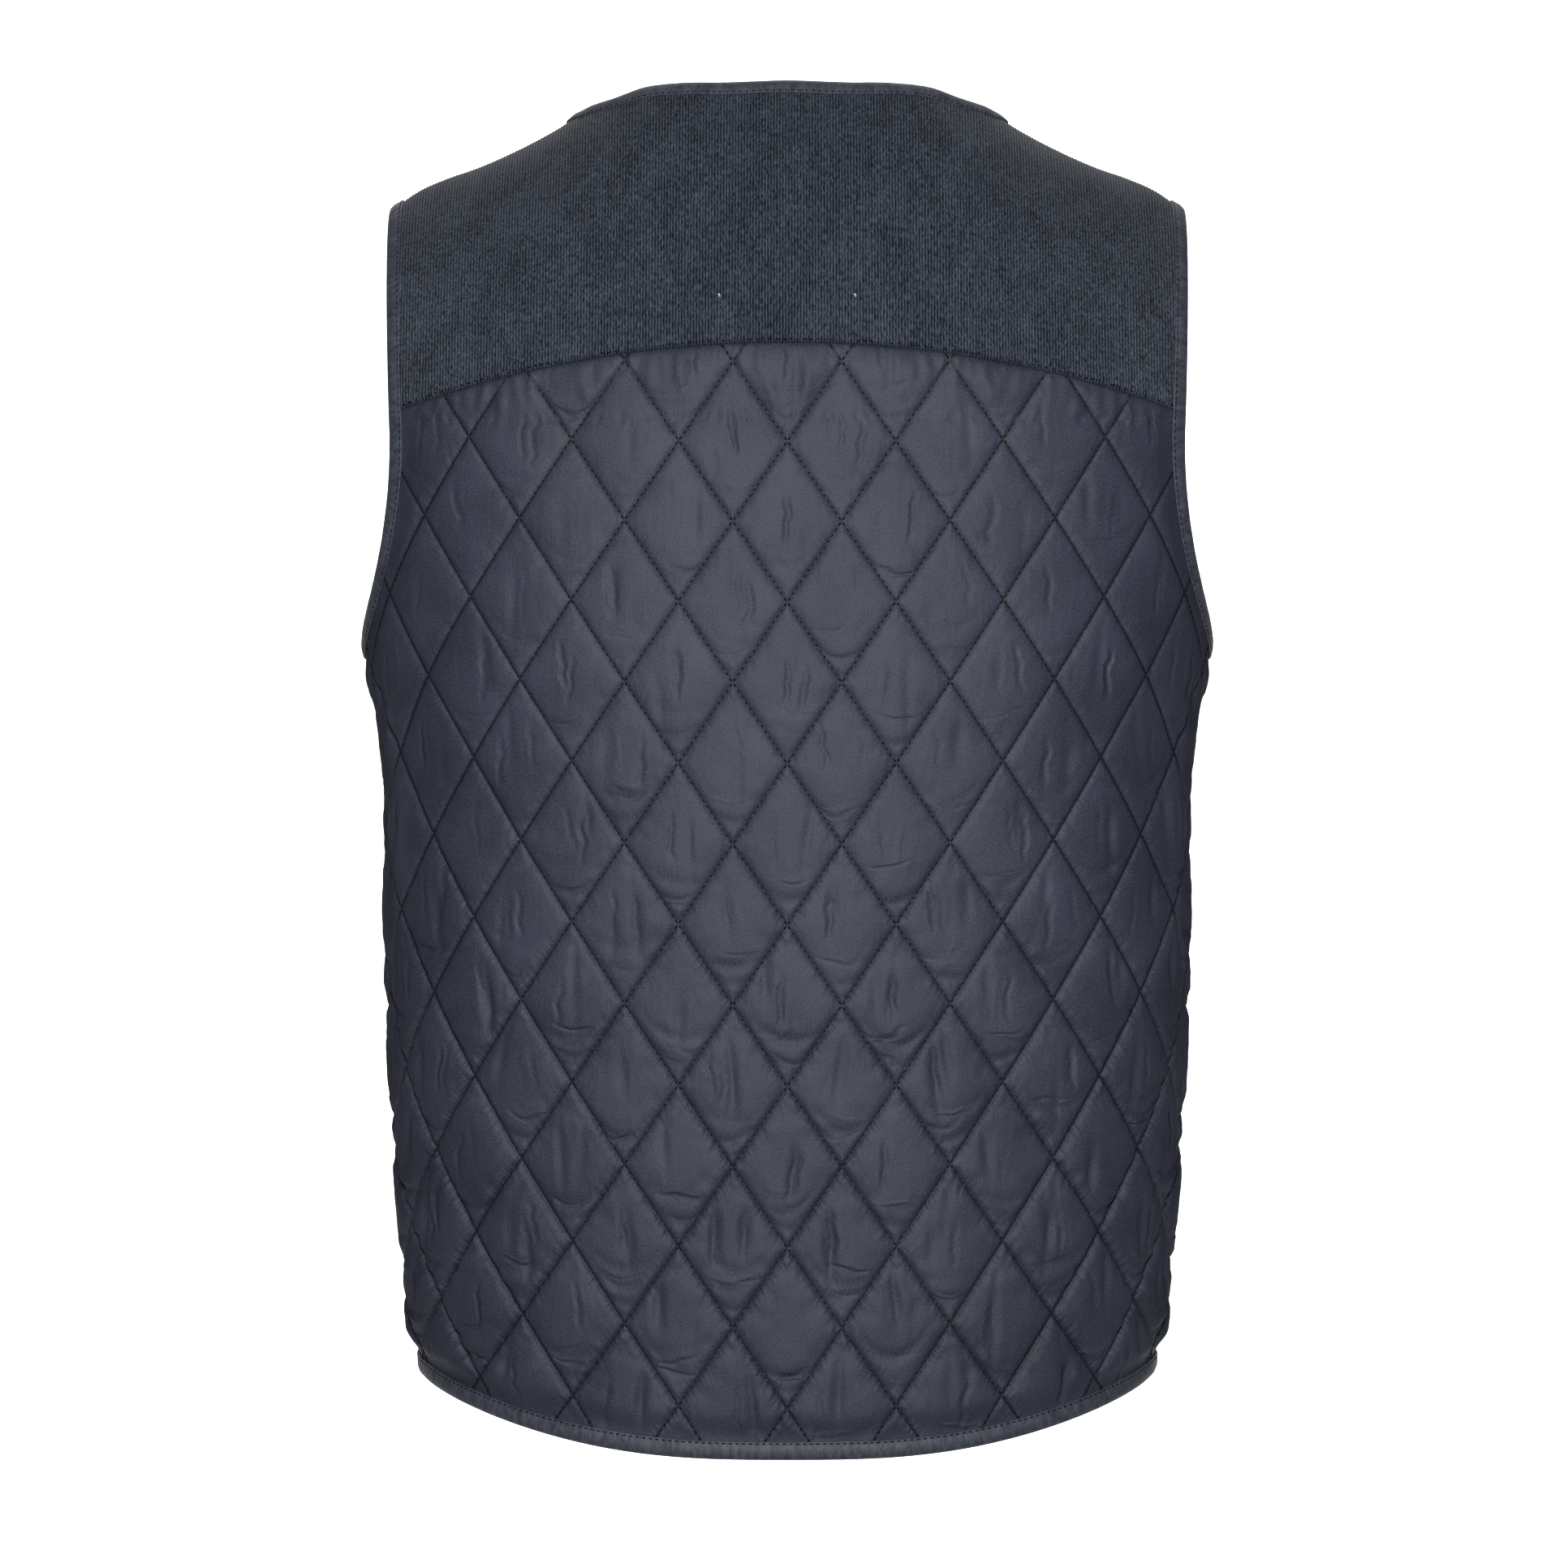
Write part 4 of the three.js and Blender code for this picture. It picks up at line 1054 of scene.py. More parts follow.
def armhole_line(hand):
    """The line round an armhole, 1 for the left one and -1 for the right one."""
    front = right_surface if hand < 0 else left_surface
    angle = np.linspace(0, math.pi / 2, UNDER_ARM_POINTS)
    drop = ARM_START - ARM_BOTTOM
    back_start = around_of("back", ARM_BLADE)
    back_reach = side_length("back", ARM_BOTTOM) - back_start
    front_start = around_of("front", ARM_CHEST)
    front_reach = side_length("front", ARM_BOTTOM) - front_start
    turn = np.linspace(0, ARM_SEAM_TURN, OVER_ARM_POINTS)
    seam_height = arch_place(armhole_x(ARM_SEAM_TURN), np.float64(ARM_SEAM_TURN))[2]
    z = np.linspace(seam_height, ARM_START, CHEST_POINTS)
    rise = ridge_height(ARM_CHEST) - BLADE_HEIGHT
    down_turn = math.pi - np.arcsin(np.clip((z - BLADE_HEIGHT) / rise, 0, 1))
    back_around = back_start + back_reach * (1 - np.sin(angle))
    front_around = front_start + front_reach * (1 - np.sin(angle))
    below = ARM_START - drop * np.cos(angle)
    runs = [
        (back_surface, hand * back_around, below),
        (yoke_surface, hand * armhole_x(turn), turn),
        (front, around_of("front", armhole_x(down_turn)), z),
        (front, front_around[::-1], below[::-1]),
    ]
    if hand > 0:
        runs = [(surface, u[::-1], v[::-1]) for surface, u, v in reversed(runs)]
    return BindingLine(runs)


def front_edge_run(surface):
    """The line down the front neck, the front edge and along the hem, rounded at both corners."""
    angle = np.linspace(NECK_SEAM_ANGLE, math.asin(CORNER_PART), NECK_POINTS)
    x = NECK_HALF_WIDTH * np.sin(angle)
    quarter = np.linspace(0, math.pi / 2, CORNER_POINTS)
    across = CORNER_RADIUS * np.sin(quarter)
    along = CORNER_RADIUS * np.cos(quarter)
    down = np.linspace(NECK_CORNER_Z, HEM_CORNER_Z, DOWN_POINTS)[1:-1]
    hem = np.linspace(CORNER_AROUND, side_length("front", HEM_SIDE), NECK_POINTS)[1:]
    u = np.concatenate([
        around_of("front", x),
        CORNER_AROUND - across,
        np.full(len(down), -LAP),
        CORNER_AROUND - along,
        hem,
    ])
    v = np.concatenate([
        NECK_HEIGHT - NECK_FRONT_DROP * np.cos(angle),
        NECK_CORNER_Z + along,
        down,
        HEM_CORNER_Z - across,
        hem_height("front", hem),
    ])
    return surface, u, v


def neck_edge_x(turn):
    """Where the neck's edge crosses a turn over the shoulder, forward of the ridge."""
    off_edge = neck_on_arch(NECK_SEARCH, np.full_like(NECK_SEARCH, turn))
    return NECK_SEARCH[np.argmin(np.abs(off_edge))]


def edge_line():
    """The line round the neck, down both front edges and along the whole hem."""
    left = front_edge_run(left_surface)
    surface, u, v = front_edge_run(right_surface)
    right = (surface, u[::-1], v[::-1])
    reach = side_length("back", HEM_SIDE)
    around = np.linspace(reach, -reach, HEM_POINTS)
    turn = np.linspace(math.pi / 2 + RIDGE_CLEAR, NECK_SEAM_TURN, SHOULDER_POINTS)
    x = np.array([neck_edge_x(one) for one in turn])
    angle = np.linspace(-1, 1, BACK_NECK_POINTS) * BACK_NECK_SPAN
    neck_x = np.sign(angle) * np.abs(np.sin(angle / 2)) ** (2 / NECK_BACK_ROUNDNESS) * NECK_HALF_WIDTH
    inside = np.clip(1 - (np.abs(neck_x) / NECK_HALF_WIDTH) ** NECK_BACK_ROUNDNESS, 0, 1)
    y = NECK_BACK_REACH * inside ** (1 / NECK_BACK_ROUNDNESS)
    neck_turn = np.arccos(y / blade_depth("back", neck_x))
    return BindingLine([
        left,
        (back_surface, around, hem_height("back", around)),
        right,
        (yoke_surface, -x[::-1], turn[::-1]),
        (yoke_surface, neck_x, neck_turn),
        (yoke_surface, x, turn),
    ])


# Stitches: a short rounded length of thread for each
def spaced(places, pitch):
    """Middles and directions of stitches at an even pitch along a line of places."""
    run = np.concatenate([[0], np.cumsum(np.linalg.norm(np.diff(places, axis=0), axis=1))])
    count = int(run[-1] / pitch)
    if count < 1:
        return np.zeros((0, 3)), np.zeros((0, 3))
    at = (np.arange(count) + 0.5) * pitch
    middles = np.stack([np.interp(at, run, places[:, k]) for k in range(3)], -1)
    ahead = np.stack([np.interp(at + 0.5, run, places[:, k]) for k in range(3)], -1)
    behind = np.stack([np.interp(at - 0.5, run, places[:, k]) for k in range(3)], -1)
    along = ahead - behind
    return middles, along / np.linalg.norm(along, axis=1, keepdims=True)


def stitch_mesh(name, middles, along, outward, length, width):
    """One object of many stitches, each of ten points with its ends sunk into the cloth."""
    side = np.cross(outward, along)
    side /= np.linalg.norm(side, axis=1, keepdims=True)
    up = np.cross(along, side)
    corners = [middles - along * length / 2 - up * width * THREAD_SINK]
    for part in (-THREAD_SHOULDER, THREAD_SHOULDER):
        for across, rise in ((1, 0), (0, THREAD_FLATNESS), (-1, 0), (0, -1)):
            off = (side * across + up * rise) * width / 2
            corners.append(middles + along * length * part + off)
    corners.append(middles + along * length / 2 - up * width * THREAD_SINK)
    points = np.stack(corners, 1)
    one = []
    for k in range(4):
        following = (k + 1) % 4
        one.append((0, 1 + following, 1 + k, 1 + k))
        one.append((1 + k, 1 + following, 5 + following, 5 + k))
        one.append((9, 5 + k, 5 + following, 5 + following))
    data = bpy.data.meshes.new(name)
    faces = (np.arange(len(middles))[:, None, None] * 10 + np.array(one)).reshape(-1, 4)
    listed = [tuple(face[:3]) if face[2] == face[3] else tuple(face) for face in faces.tolist()]
    data.from_pydata((points.reshape(-1, 3) * MM).tolist(), [], listed)
    data.shade_smooth()
    thing = bpy.data.objects.new(name, data)
    bpy.context.scene.collection.objects.link(thing)
    return thing


def quilting_stitches(panel, name):
    """Thread along every quilting line that shows, with so many stitches to a diamond's side."""
    low, high = panel.columns
    top, bottom = panel.rows
    from_seam, from_edge, from_top = STITCH_FREE
    lines = np.arange(-LINES_REACH, LINES_REACH + 1, 4)
    stitch_count = LINES_REACH * STITCHES_A_SIDE // 4
    along_line = (np.arange(-stitch_count, stitch_count) + 0.5) * 4 / STITCHES_A_SIDE
    line, place = [grid.ravel() for grid in np.meshgrid(lines, along_line)]
    middles = []
    along = []
    for p_line in (True, False):
        ends = []
        for part in (-STITCH_PROBE, 0, STITCH_PROBE):
            p, q = (line, place + part) if p_line else (place + part, line)
            ends.append(((p + q) / 2, (p - q) / 2))
        column, row = ends[1]
        near = (column > low) & (column < high) & (row > top) & (row < bottom)
        u, v = quilt_place(panel.side, column[near], row[near])
        seam = panel.from_seam(u, v)
        edge = panel.from_edge(u, v)
        shown = (seam > from_seam) & (edge > from_edge) & (v < arch_top(panel.side, u) - from_top)
        places = []
        for column, row in ends:
            u, v = quilt_place(panel.side, column[near][shown], row[near][shown])
            dip = SEAM_DIP * (1 - blend(seam[shown], 0, PANEL_DIP_REACH))
            places.append(panel.surface.lifted(u, v, WALL + STITCH_OUT + panel.folds(u, v) - dip))
        direction = places[2] - places[0]
        middles.append(places[1])
        along.append(direction / np.linalg.norm(direction, axis=1, keepdims=True))
    middles = np.concatenate(middles)
    along = np.concatenate(along)
    return stitch_mesh(name, middles, along, outward_at(middles), QUILT_STITCH_LENGTH, THREAD_WIDTH)


def outward_at(places):
    """Roughly outward directions, away from an upright line inside the body or the shoulders."""
    share_x, share_y, highest = OUTWARD_FROM
    x, y, z = places.T
    inside = np.stack([x * share_x, y * share_y, np.minimum(z, highest)], -1)
    out = places - inside
    return out / np.linalg.norm(out, axis=1, keepdims=True)


class Value:
    """A shader node's output; arithmetic on it adds Math nodes."""

    def __init__(self, shader, socket):
        self.shader = shader
        self.socket = socket

    def maths(self, operation, *inputs):
        return self.shader.node("ShaderNodeMath", {"operation": operation}, dict(enumerate(inputs)))

    def __add__(self, other):
        return self.maths("ADD", self, other)

    def __radd__(self, other):
        return self.maths("ADD", other, self)

    def __sub__(self, other):
        return self.maths("SUBTRACT", self, other)

    def __rsub__(self, other):
        return self.maths("SUBTRACT", other, self)

    def __mul__(self, other):
        return self.maths("MULTIPLY", self, other)

    def __rmul__(self, other):
        return self.maths("MULTIPLY", other, self)

    def __neg__(self):
        return self.maths("MULTIPLY", self, -1.0)

    def size(self):
        return self.maths("ABSOLUTE", self)

    def floor(self):
        return self.maths("FLOOR", self)

    def part_of(self, whole):
        """How far along its own repeat of a length the value is, from 0 to 1."""
        share = self * (1 / whole)
        return share.maths("FRACT", share)

    def nearest_line(self, spacing):
        """How far the value is from the nearest of evenly spaced lines."""
        return self.maths("PINGPONG", self, spacing / 2)

    def or_more(self, other):
        return self.maths("MAXIMUM", self, other)

    def sine(self):
        return self.maths("SINE", self)

    def between(self, low, high):
        return self.shader.node(
            "ShaderNodeMapRange", {"interpolation_type": "SMOOTHSTEP"}, {0: self, 1: low, 2: high})


class Shader:
    """A material and the helpers that add nodes to it; lengths are in millimetres of cloth."""

    def __init__(self, name):
        self.material = bpy.data.materials.new(name)
        self.material.use_nodes = True
        self.tree = self.material.node_tree
        self.surface = self.tree.nodes["Principled BSDF"]

    def node(self, kind, settings, inputs, output=0):
        made = self.tree.nodes.new(kind)
        for name, value in settings.items():
            setattr(made, name, value)
        for name, value in inputs.items():
            if isinstance(value, Value):
                self.tree.links.new(value.socket, made.inputs[name])
            else:
                made.inputs[name].default_value = value
        return Value(self, made.outputs[output])

    def feed(self, **inputs):
        for name, value in inputs.items():
            socket = self.surface.inputs[name.replace("_", " ")]
            if isinstance(value, Value):
                self.tree.links.new(value.socket, socket)
            else:
                socket.default_value = value

    def flat(self):
        return self.node("ShaderNodeTexCoord", {}, {}, "UV")

    def placed(self):
        return self.node("ShaderNodeTexCoord", {}, {}, "Object")

    def joined(self, across, up, deep=0.0):
        return self.node("ShaderNodeCombineXYZ", {}, {0: across, 1: up, 2: deep})

    def stretched(self, place, across, along):
        grains = (across, along, 1)
        return self.node("ShaderNodeVectorMath", {"operation": "MULTIPLY"}, {0: place, 1: grains})

    def noise(self, place, detail=2.0, roughness=0.5, distortion=0.0):
        return self.node("ShaderNodeTexNoise", {}, {
            "Vector": place,
            "Scale": 1.0,
            "Detail": detail,
            "Roughness": roughness,
            "Distortion": distortion,
        })

    def chance(self, column, row, seed):
        """Three random numbers, 0 to 1, for each whole column and row."""
        place = {"Vector": self.joined(column, row, seed)}
        colour = self.node("ShaderNodeTexWhiteNoise", {"noise_dimensions": "3D"}, place, "Color")
        return [self.split(colour, part) for part in range(3)]

    def split(self, place, part):
        return self.node("ShaderNodeSeparateXYZ", {}, {0: place}, part)

    def mixed(self, factor, one, two):
        return self.node("ShaderNodeMix", {"data_type": "RGBA"}, {0: factor, 6: one, 7: two}, 2)

    def bump(self, height, strength, distance, under=None):
        inputs = {"Height": height, "Strength": strength, "Distance": distance}
        if under:
            inputs["Normal"] = under
        return self.node("ShaderNodeBump", {}, inputs)


def linear(red, green, blue):
    """A screen colour, 0 to 255, as a shader's colour."""
    def part_of_light(value):
        part = value / 255
        return part / 12.92 if part <= 0.04045 else ((part + 0.055) / 1.055) ** 2.4

    return part_of_light(red), part_of_light(green), part_of_light(blue), 1.0


# Colours of the cloths, threads and studs, as they would show on a screen in even light. Painted shade:
# beside the quilting's stitch lines and in its needle holes; the dark ends of the corduroy's and
# binding's ranges also paint shade in grooves and crease troughs
QUILT_DARK = linear(38, 42, 58)
QUILT_LIGHT = linear(71, 75, 94)
LINE_PAINTED_SHADE = linear(28, 31, 42)
HOLE_PAINTED_SHADE = linear(8, 9, 14)
CORDUROY_DARK = linear(16, 20, 28)
CORDUROY_LIGHT = linear(97, 107, 123)
BINDING_DARK = linear(56, 60, 71)
BINDING_LIGHT = linear(88, 93, 106)
THREAD_NAVY = linear(18, 20, 30)
THREAD_EDGE = linear(22, 25, 34)
THREAD_CREAM = linear(232, 224, 214)
STUD_METAL = linear(52, 56, 64)


# Quilted cloth: spans are in millimetres, grains are how many of them a millimetre holds
LINE_SHADE = (0.4, 1.8)     # from a stitch line, where its painted shade begins to fade and where it ends
LINE_SHADE_SHARE = 0.55
HOLE_SPAN = (0.35, 0.8)     # across a line, over which the painted shade of the needle's holes fades
HOLE_BEAT = (0.1, 0.9)      # and along it, in the wave that has a hole for each stitch
HOLE_SHARE = 0.9
PUCKER_SPAN = (0.5, 7.5)    # from a line, over which the puckers along it end
PUCKER_GRAIN = (SIDE_RUN * 0.36, 0.7)       # along and across a line, for each quarter of a diamond
WRINKLE_GRAIN = (0.16, 0.05)
WAVER_GRAIN = (0.05, 0.09)
WEAVE_GRAIN = (1.1, 0.9)
SLUB_GRAIN = (0.5, 6.0)
PATCH_GRAIN = (0.025, 0.025)
TONE_SPAN = (0.36, 0.64)    # of the noises together, from the dark to the light colour
LOW_PANEL = (120, 460)      # below the crossing at the top, where more puckers and creases begin
WEAVE_BUMP = (0.4, 0.00018)         # strength, and depth in metres
PUCKER_BUMP = (0.8, 0.0015)
WRINKLE_BUMP = (0.3, 0.0012)
CREASE_BUMP = (1.0, 0.0011)

# Small creases that only the material shows, upright ones and level ones, in each diamond
SHADED_UPRIGHTS = 2
SHADED_UPRIGHT = {
    "across": 22,
    "lean": 0.3,
    "waver": 7,
    "up": (-3, 12),
    "length": (5, 16),
    "width": (0, 2.8),
    "shallowest": 0.2,
}
SHADED_LEVELS = 2
SHADED_LEVEL = {
    "down": (10, 20),
    "smile": (0.012, 0.03),
    "lean": 0.8,
    "waver": 14,
    "aside": 12,
    "length": (4, 13),
    "width": (0, 2.6),
    "shallowest": 0.35,
    "low": (0.5, 0.9),
}
UPRIGHT_SEED = 0.5
LEVEL_SEED = 10.5


def along_stitch_lines(shader, column, row):
    """Painted shade by the stitch lines and in the needle's holes in them, and puckers that run off them.
    """
    near = 0.0
    hole_shade = 0.0
    puckers = 0.0
    for place, other in ((column + row, column - row), (column - row, column + row)):
        off_line = place.nearest_line(4) * LINE_SPACING
        beat = (other * (2 * math.pi * STITCHES_A_SIDE / 4) + math.pi / 2).sine()
        # near: painted shade beside the line, where its groove would be in shade
        near = (1 - off_line.between(*LINE_SHADE)).or_more(near)
        # holes: painted shade where the needle's holes would be, one for each stitch
        hole_shade = ((1 - off_line.between(*HOLE_SPAN)) * beat.between(*HOLE_BEAT)).or_more(hole_shade)
        by_line = shader.joined(other * PUCKER_GRAIN[0], place * PUCKER_GRAIN[1])
        puckers = shader.noise(by_line, 1.0) * (1 - off_line.between(*PUCKER_SPAN)) + puckers
    return near, hole_shade, puckers


def shaded_creases(shader, flat, column, row, low_panel):
    """Creases at places of their own in every diamond."""
    down_p = (column + row).part_of(4)
    down_q = (column - row).part_of(4)
    in_across = (down_p + down_q - 1) * (2 * QUARTER_WIDE)
    in_up = (down_q - down_p) * (2 * QUARTER_HIGH)
    cell_p = ((column + row) * (1 / 4)).floor()
    cell_q = ((column - row) * (1 / 4)).floor()
    waver = shader.noise(shader.stretched(flat, *WAVER_GRAIN), 1.0) - 0.5
    creases = 0.0
    kind = SHADED_UPRIGHT
    for seed in range(SHADED_UPRIGHTS):
        place, lean, depth = shader.chance(cell_p, cell_q, seed + UPRIGHT_SEED)
        leaning = (lean - 0.5) * in_up * kind["lean"]
        off = (in_across - (place - 0.5) * kind["across"] - leaning + waver * kind["waver"]).size()
        along = (in_up - lean * kind["up"][1] - kind["up"][0]).size()
        crease = (1 - off.between(*kind["width"])) * (1 - along.between(*kind["length"]))
        creases = crease * (depth - kind["shallowest"]) + creases
    kind = SHADED_LEVEL
    for seed in range(SHADED_LEVELS):
        place, lean, depth = shader.chance(cell_p, cell_q, seed + LEVEL_SEED)
        smile = in_across * in_across * (place * kind["smile"][1] + kind["smile"][0])
        leaning = (lean - 0.5) * in_across * kind["lean"]
        level = in_up + place * kind["down"][1] + kind["down"][0]
        off = (level - smile - leaning + waver * kind["waver"]).size()
        along = (in_across + (lean - 0.5) * kind["aside"]).size()
        crease = (1 - off.between(*kind["width"])) * (1 - along.between(*kind["length"]))
        deeper = low_panel * kind["low"][1] + kind["low"][0]
        creases = crease * (depth - kind["shallowest"]) * deeper + creases
    return creases


def quilted_cloth():
    shader = Shader("quilted cloth")
    flat = shader.flat()
    up = shader.split(flat, 1)
    column = shader.split(flat, 0) * (1 / QUARTER_WIDE)
    row = up * (-1 / QUARTER_HIGH)
    low_panel = (-up).between(*LOW_PANEL)
    near, hole_shade, puckers = along_stitch_lines(shader, column, row)
    creases = shaded_creases(shader, flat, column, row, low_panel)
    wrinkles = shader.noise(shader.stretched(flat, *WRINKLE_GRAIN), 3.0, 0.6, 0.6)
    weave = shader.noise(shader.stretched(flat, *WEAVE_GRAIN), 3.0, 0.8)
    slub = shader.noise(shader.stretched(flat, *SLUB_GRAIN), 2.0, 0.6)
    patches = shader.noise(shader.stretched(flat, *PATCH_GRAIN), 2.0, 0.5)
    tone = (patches * 0.2 + slub * 0.2 + weave * 0.6).between(*TONE_SPAN)
    cloth = shader.mixed(tone, QUILT_DARK, QUILT_LIGHT)
    # Painted shade: the cloth is mixed toward a darker colour beside every stitch line
    shaded = shader.mixed(near * LINE_SHADE_SHARE, cloth, LINE_PAINTED_SHADE)
    # Painted shade: near-black spots at the needle's holes in every stitch line
    shader.feed(Base_Color=shader.mixed(hole_shade * HOLE_SHARE, shaded, HOLE_PAINTED_SHADE))
    shader.feed(Roughness=0.58 + slub * 0.1)
    fine = shader.bump(weave + slub, *WEAVE_BUMP)
    medium = shader.bump(puckers * (low_panel * 0.65 + 0.35), *PUCKER_BUMP, fine)
    coarse = shader.bump(wrinkles, *WRINKLE_BUMP, medium)
    shader.feed(Normal=shader.bump(-(creases * (1 - near)), *CREASE_BUMP, coarse))
    shader.feed(Specular_IOR_Level=0.55)
    return shader.material


# Corduroy: the wales with their tufts, rubbed and crushed patches, and painted shade in the grooves
# between the wales
TUFT_GRAIN = (1.1, 0.55)
RUBBED_GRAIN = (0.30, 0.16)
CRUSHED_GRAIN = (0.05, 0.035)
CORDUROY_SPAN = (0.12, 0.88)
WALE_BUMP = (0.6, 0.0004)


def corduroy():
    shader = Shader("corduroy")
    flat = shader.flat()
    across = shader.split(flat, 0)
    wale = 0.5 + 0.5 * (across * (2 * math.pi / WALE) + math.pi / 2).sine()
    tufts = shader.noise(shader.stretched(flat, *TUFT_GRAIN), 2.0, 0.7)
    rubbed = shader.noise(shader.stretched(flat, *RUBBED_GRAIN), 3.0, 0.6, 0.4)
    crushed = shader.noise(shader.stretched(flat, *CRUSHED_GRAIN), 3.0, 0.6, 0.5)
    # Painted shade and light: the wale term darkens each groove between wales and lightens each crest
    tone = (wale * 0.3 + tufts * 1.2 + rubbed * 0.35 + crushed * 0.3 - 0.66).between(*CORDUROY_SPAN)
    shader.feed(Base_Color=shader.mixed(tone, CORDUROY_DARK, CORDUROY_LIGHT), Roughness=0.9)
    shader.feed(Normal=shader.bump(wale + tufts * 1.6, *WALE_BUMP))
    shader.feed(Sheen_Weight=0.15, Sheen_Roughness=0.4, Specular_IOR_Level=0.2)
    return shader.material


# Binding cloth, a close plain weave that creases where it is folded, with painted shade and light on its
# creases
BINDING_CREASE_GRAIN = (0.32, 0.12)
BINDING_SLUB_GRAIN = (4.0, 0.6)
BINDING_THREAD = 0.5
BINDING_SPAN = (0.35, 0.65)
BINDING_WEAVE_BUMP = (0.16, 0.00012)
BINDING_CREASE_BUMP = (0.5, 0.0012)


def binding_cloth():
    shader = Shader("binding cloth")
    flat = shader.flat()
    creases = shader.noise(shader.stretched(flat, *BINDING_CREASE_GRAIN), 3.0, 0.6, 0.5)
    slub = shader.noise(shader.stretched(flat, *BINDING_SLUB_GRAIN), 2.0, 0.6)
    beat = 2 * math.pi / BINDING_THREAD
    weave = (shader.split(flat, 0) * beat).sine() * (shader.split(flat, 1) * beat).sine()
    # Painted shade and light: the crease noise, also the bump's height, darkens troughs and lightens
    # crests; the slub is the cloth's own tone
    tone = (creases * 0.6 + slub * 0.4).between(*BINDING_SPAN)
    shader.feed(Base_Color=shader.mixed(tone, BINDING_DARK, BINDING_LIGHT))
    shader.feed(Roughness=0.45 + slub * 0.15)
    fine = shader.bump(weave + slub * 2.0, *BINDING_WEAVE_BUMP)
    shader.feed(Normal=shader.bump(creases, *BINDING_CREASE_BUMP, fine))
    shader.feed(Sheen_Weight=0.2, Sheen_Roughness=0.35, Specular_IOR_Level=0.45)
    return shader.material


# Thread and metal: their grains go by place, so they count for a metre
STRAND_GRAIN = (2500, 2500)
STRAND_BUMP = (0.4, 0.0001)
SCUFF_GRAIN = (900, 900)


def thread(name, colour):
    shader = Shader(name)
    strands = shader.noise(shader.stretched(shader.placed(), *STRAND_GRAIN), 1.0)
    shader.feed(Base_Color=colour, Roughness=0.8, Specular_IOR_Level=0.15)
    shader.feed(Normal=shader.bump(strands, *STRAND_BUMP))
    return shader.material


def stud_metal():
    shader = Shader("stud metal")
    scuffs = shader.noise(shader.stretched(shader.placed(), *SCUFF_GRAIN), 3.0, 0.6)
    shader.feed(Base_Color=STUD_METAL, Metallic=0.9, Roughness=0.25 + scuffs * 0.25)
    return shader.material


# Press studs: profiles from the middle outwards, radius and height
STUD_COUNT = 5
STUD_TOP = -104
STUD_PITCH = 121
STUD_SIDES = 40
STUD_PROFILES = {
    "cap": (
        (0.02, 2.6), (2.4, 2.55), (3.6, 2.3), (4.2, 2.15), (4.5, 2.25),
        (5.2, 1.95), (5.9, 1.3), (6.2, 0.6), (6.0, 0.05)),
    "socket": ((0.02, 2.0), (1.6, 2.0), (2.0, 1.4), (3.4, 1.4), (4.0, 1.9), (4.4, 1.4), (4.4, 0.1)),
    "plate": ((0.02, 1.2), (3.6, 1.1), (4.8, 0.9), (5.3, 0.5), (5.4, 0.05)),
}
# Where each part's foot lies over the left front's inside
STUD_HEIGHTS = {"cap": WALL + SEAM_GAP, "socket": -0.5, "plate": -LAP_DROP - SEAM_GAP}


def studs(name, kind):
    """All the studs' parts of one kind: caps face out, sockets and back plates face in."""
    angle = np.linspace(0, 2 * math.pi, STUD_SIDES, endpoint=False)[:, None]
    profile = STUD_PROFILES[kind]
    points = []
    faces = []
    for i in range(STUD_COUNT):
        z = np.float64(STUD_TOP - STUD_PITCH * i)
        middle = body_place("front", np.float64(0), z)
        normal = left_surface.normal(np.float64(0), z)
        facing = normal if kind == "cap" else -normal
        side = np.cross((0, 0, 1), facing)
        side /= np.linalg.norm(side)
        up = np.cross(facing, side)
        base = middle + normal * STUD_HEIGHTS[kind]
        start = sum(len(part) for part in points)
        for radius, height in profile:
            points.append(base + facing * height + radius * (np.cos(angle) * side + np.sin(angle) * up))
        ring = np.arange(STUD_SIDES)
        following = (ring + 1) % STUD_SIDES
        for k in range(len(profile) - 1):
            a = start + k * STUD_SIDES
            b = a + STUD_SIDES
            faces.append(np.stack([a + ring, b + ring, b + following, a + following], -1))
    return sheet_mesh(name, np.concatenate(points), np.concatenate(faces))


def dress(thing, material, slot_name, *nodes):
    """Gives a piece its material and body, and hides the solids that it stands for; its slot name is not
    used.
    """
    thing.data.materials.append(material)
    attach(thing, "root")
    if nodes:
        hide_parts(*nodes)
    return thing


# Two pale thread tacks on the yoke, by x and height, and the stitches along its back seam
TACKS = ((34.3, -78.2), (-34.3, -78.2))
TACK_DIRECTION = np.array([0.495, 0.05, 1.0])
TACK_LENGTH = 2.6
TACK_WIDTH = 1.0
SEAM_STITCH_OVER = 1.4      # how far over the yoke's seam its stitches lie
SEAM_STITCH_WANDER = 0.2
SEAM_STITCH_LEAN = (0.1, 0.6)
SEAM_STITCH_HEIGHT = WALL + WALE_RISE * 0.6


def tacks(name):
    middles = []
    along = []
    for x, z in TACKS:
        turn = math.asin((z - BLADE_HEIGHT) / (ridge_height(abs(x)) - BLADE_HEIGHT))
        middles.append(yoke_surface.lifted(x, turn, WALL + WALE_RISE + STITCH_OUT))
        along.append(TACK_DIRECTION / np.linalg.norm(TACK_DIRECTION))
    middles = np.array(middles)
    return stitch_mesh(name, middles, np.array(along), outward_at(middles), TACK_LENGTH, TACK_WIDTH)


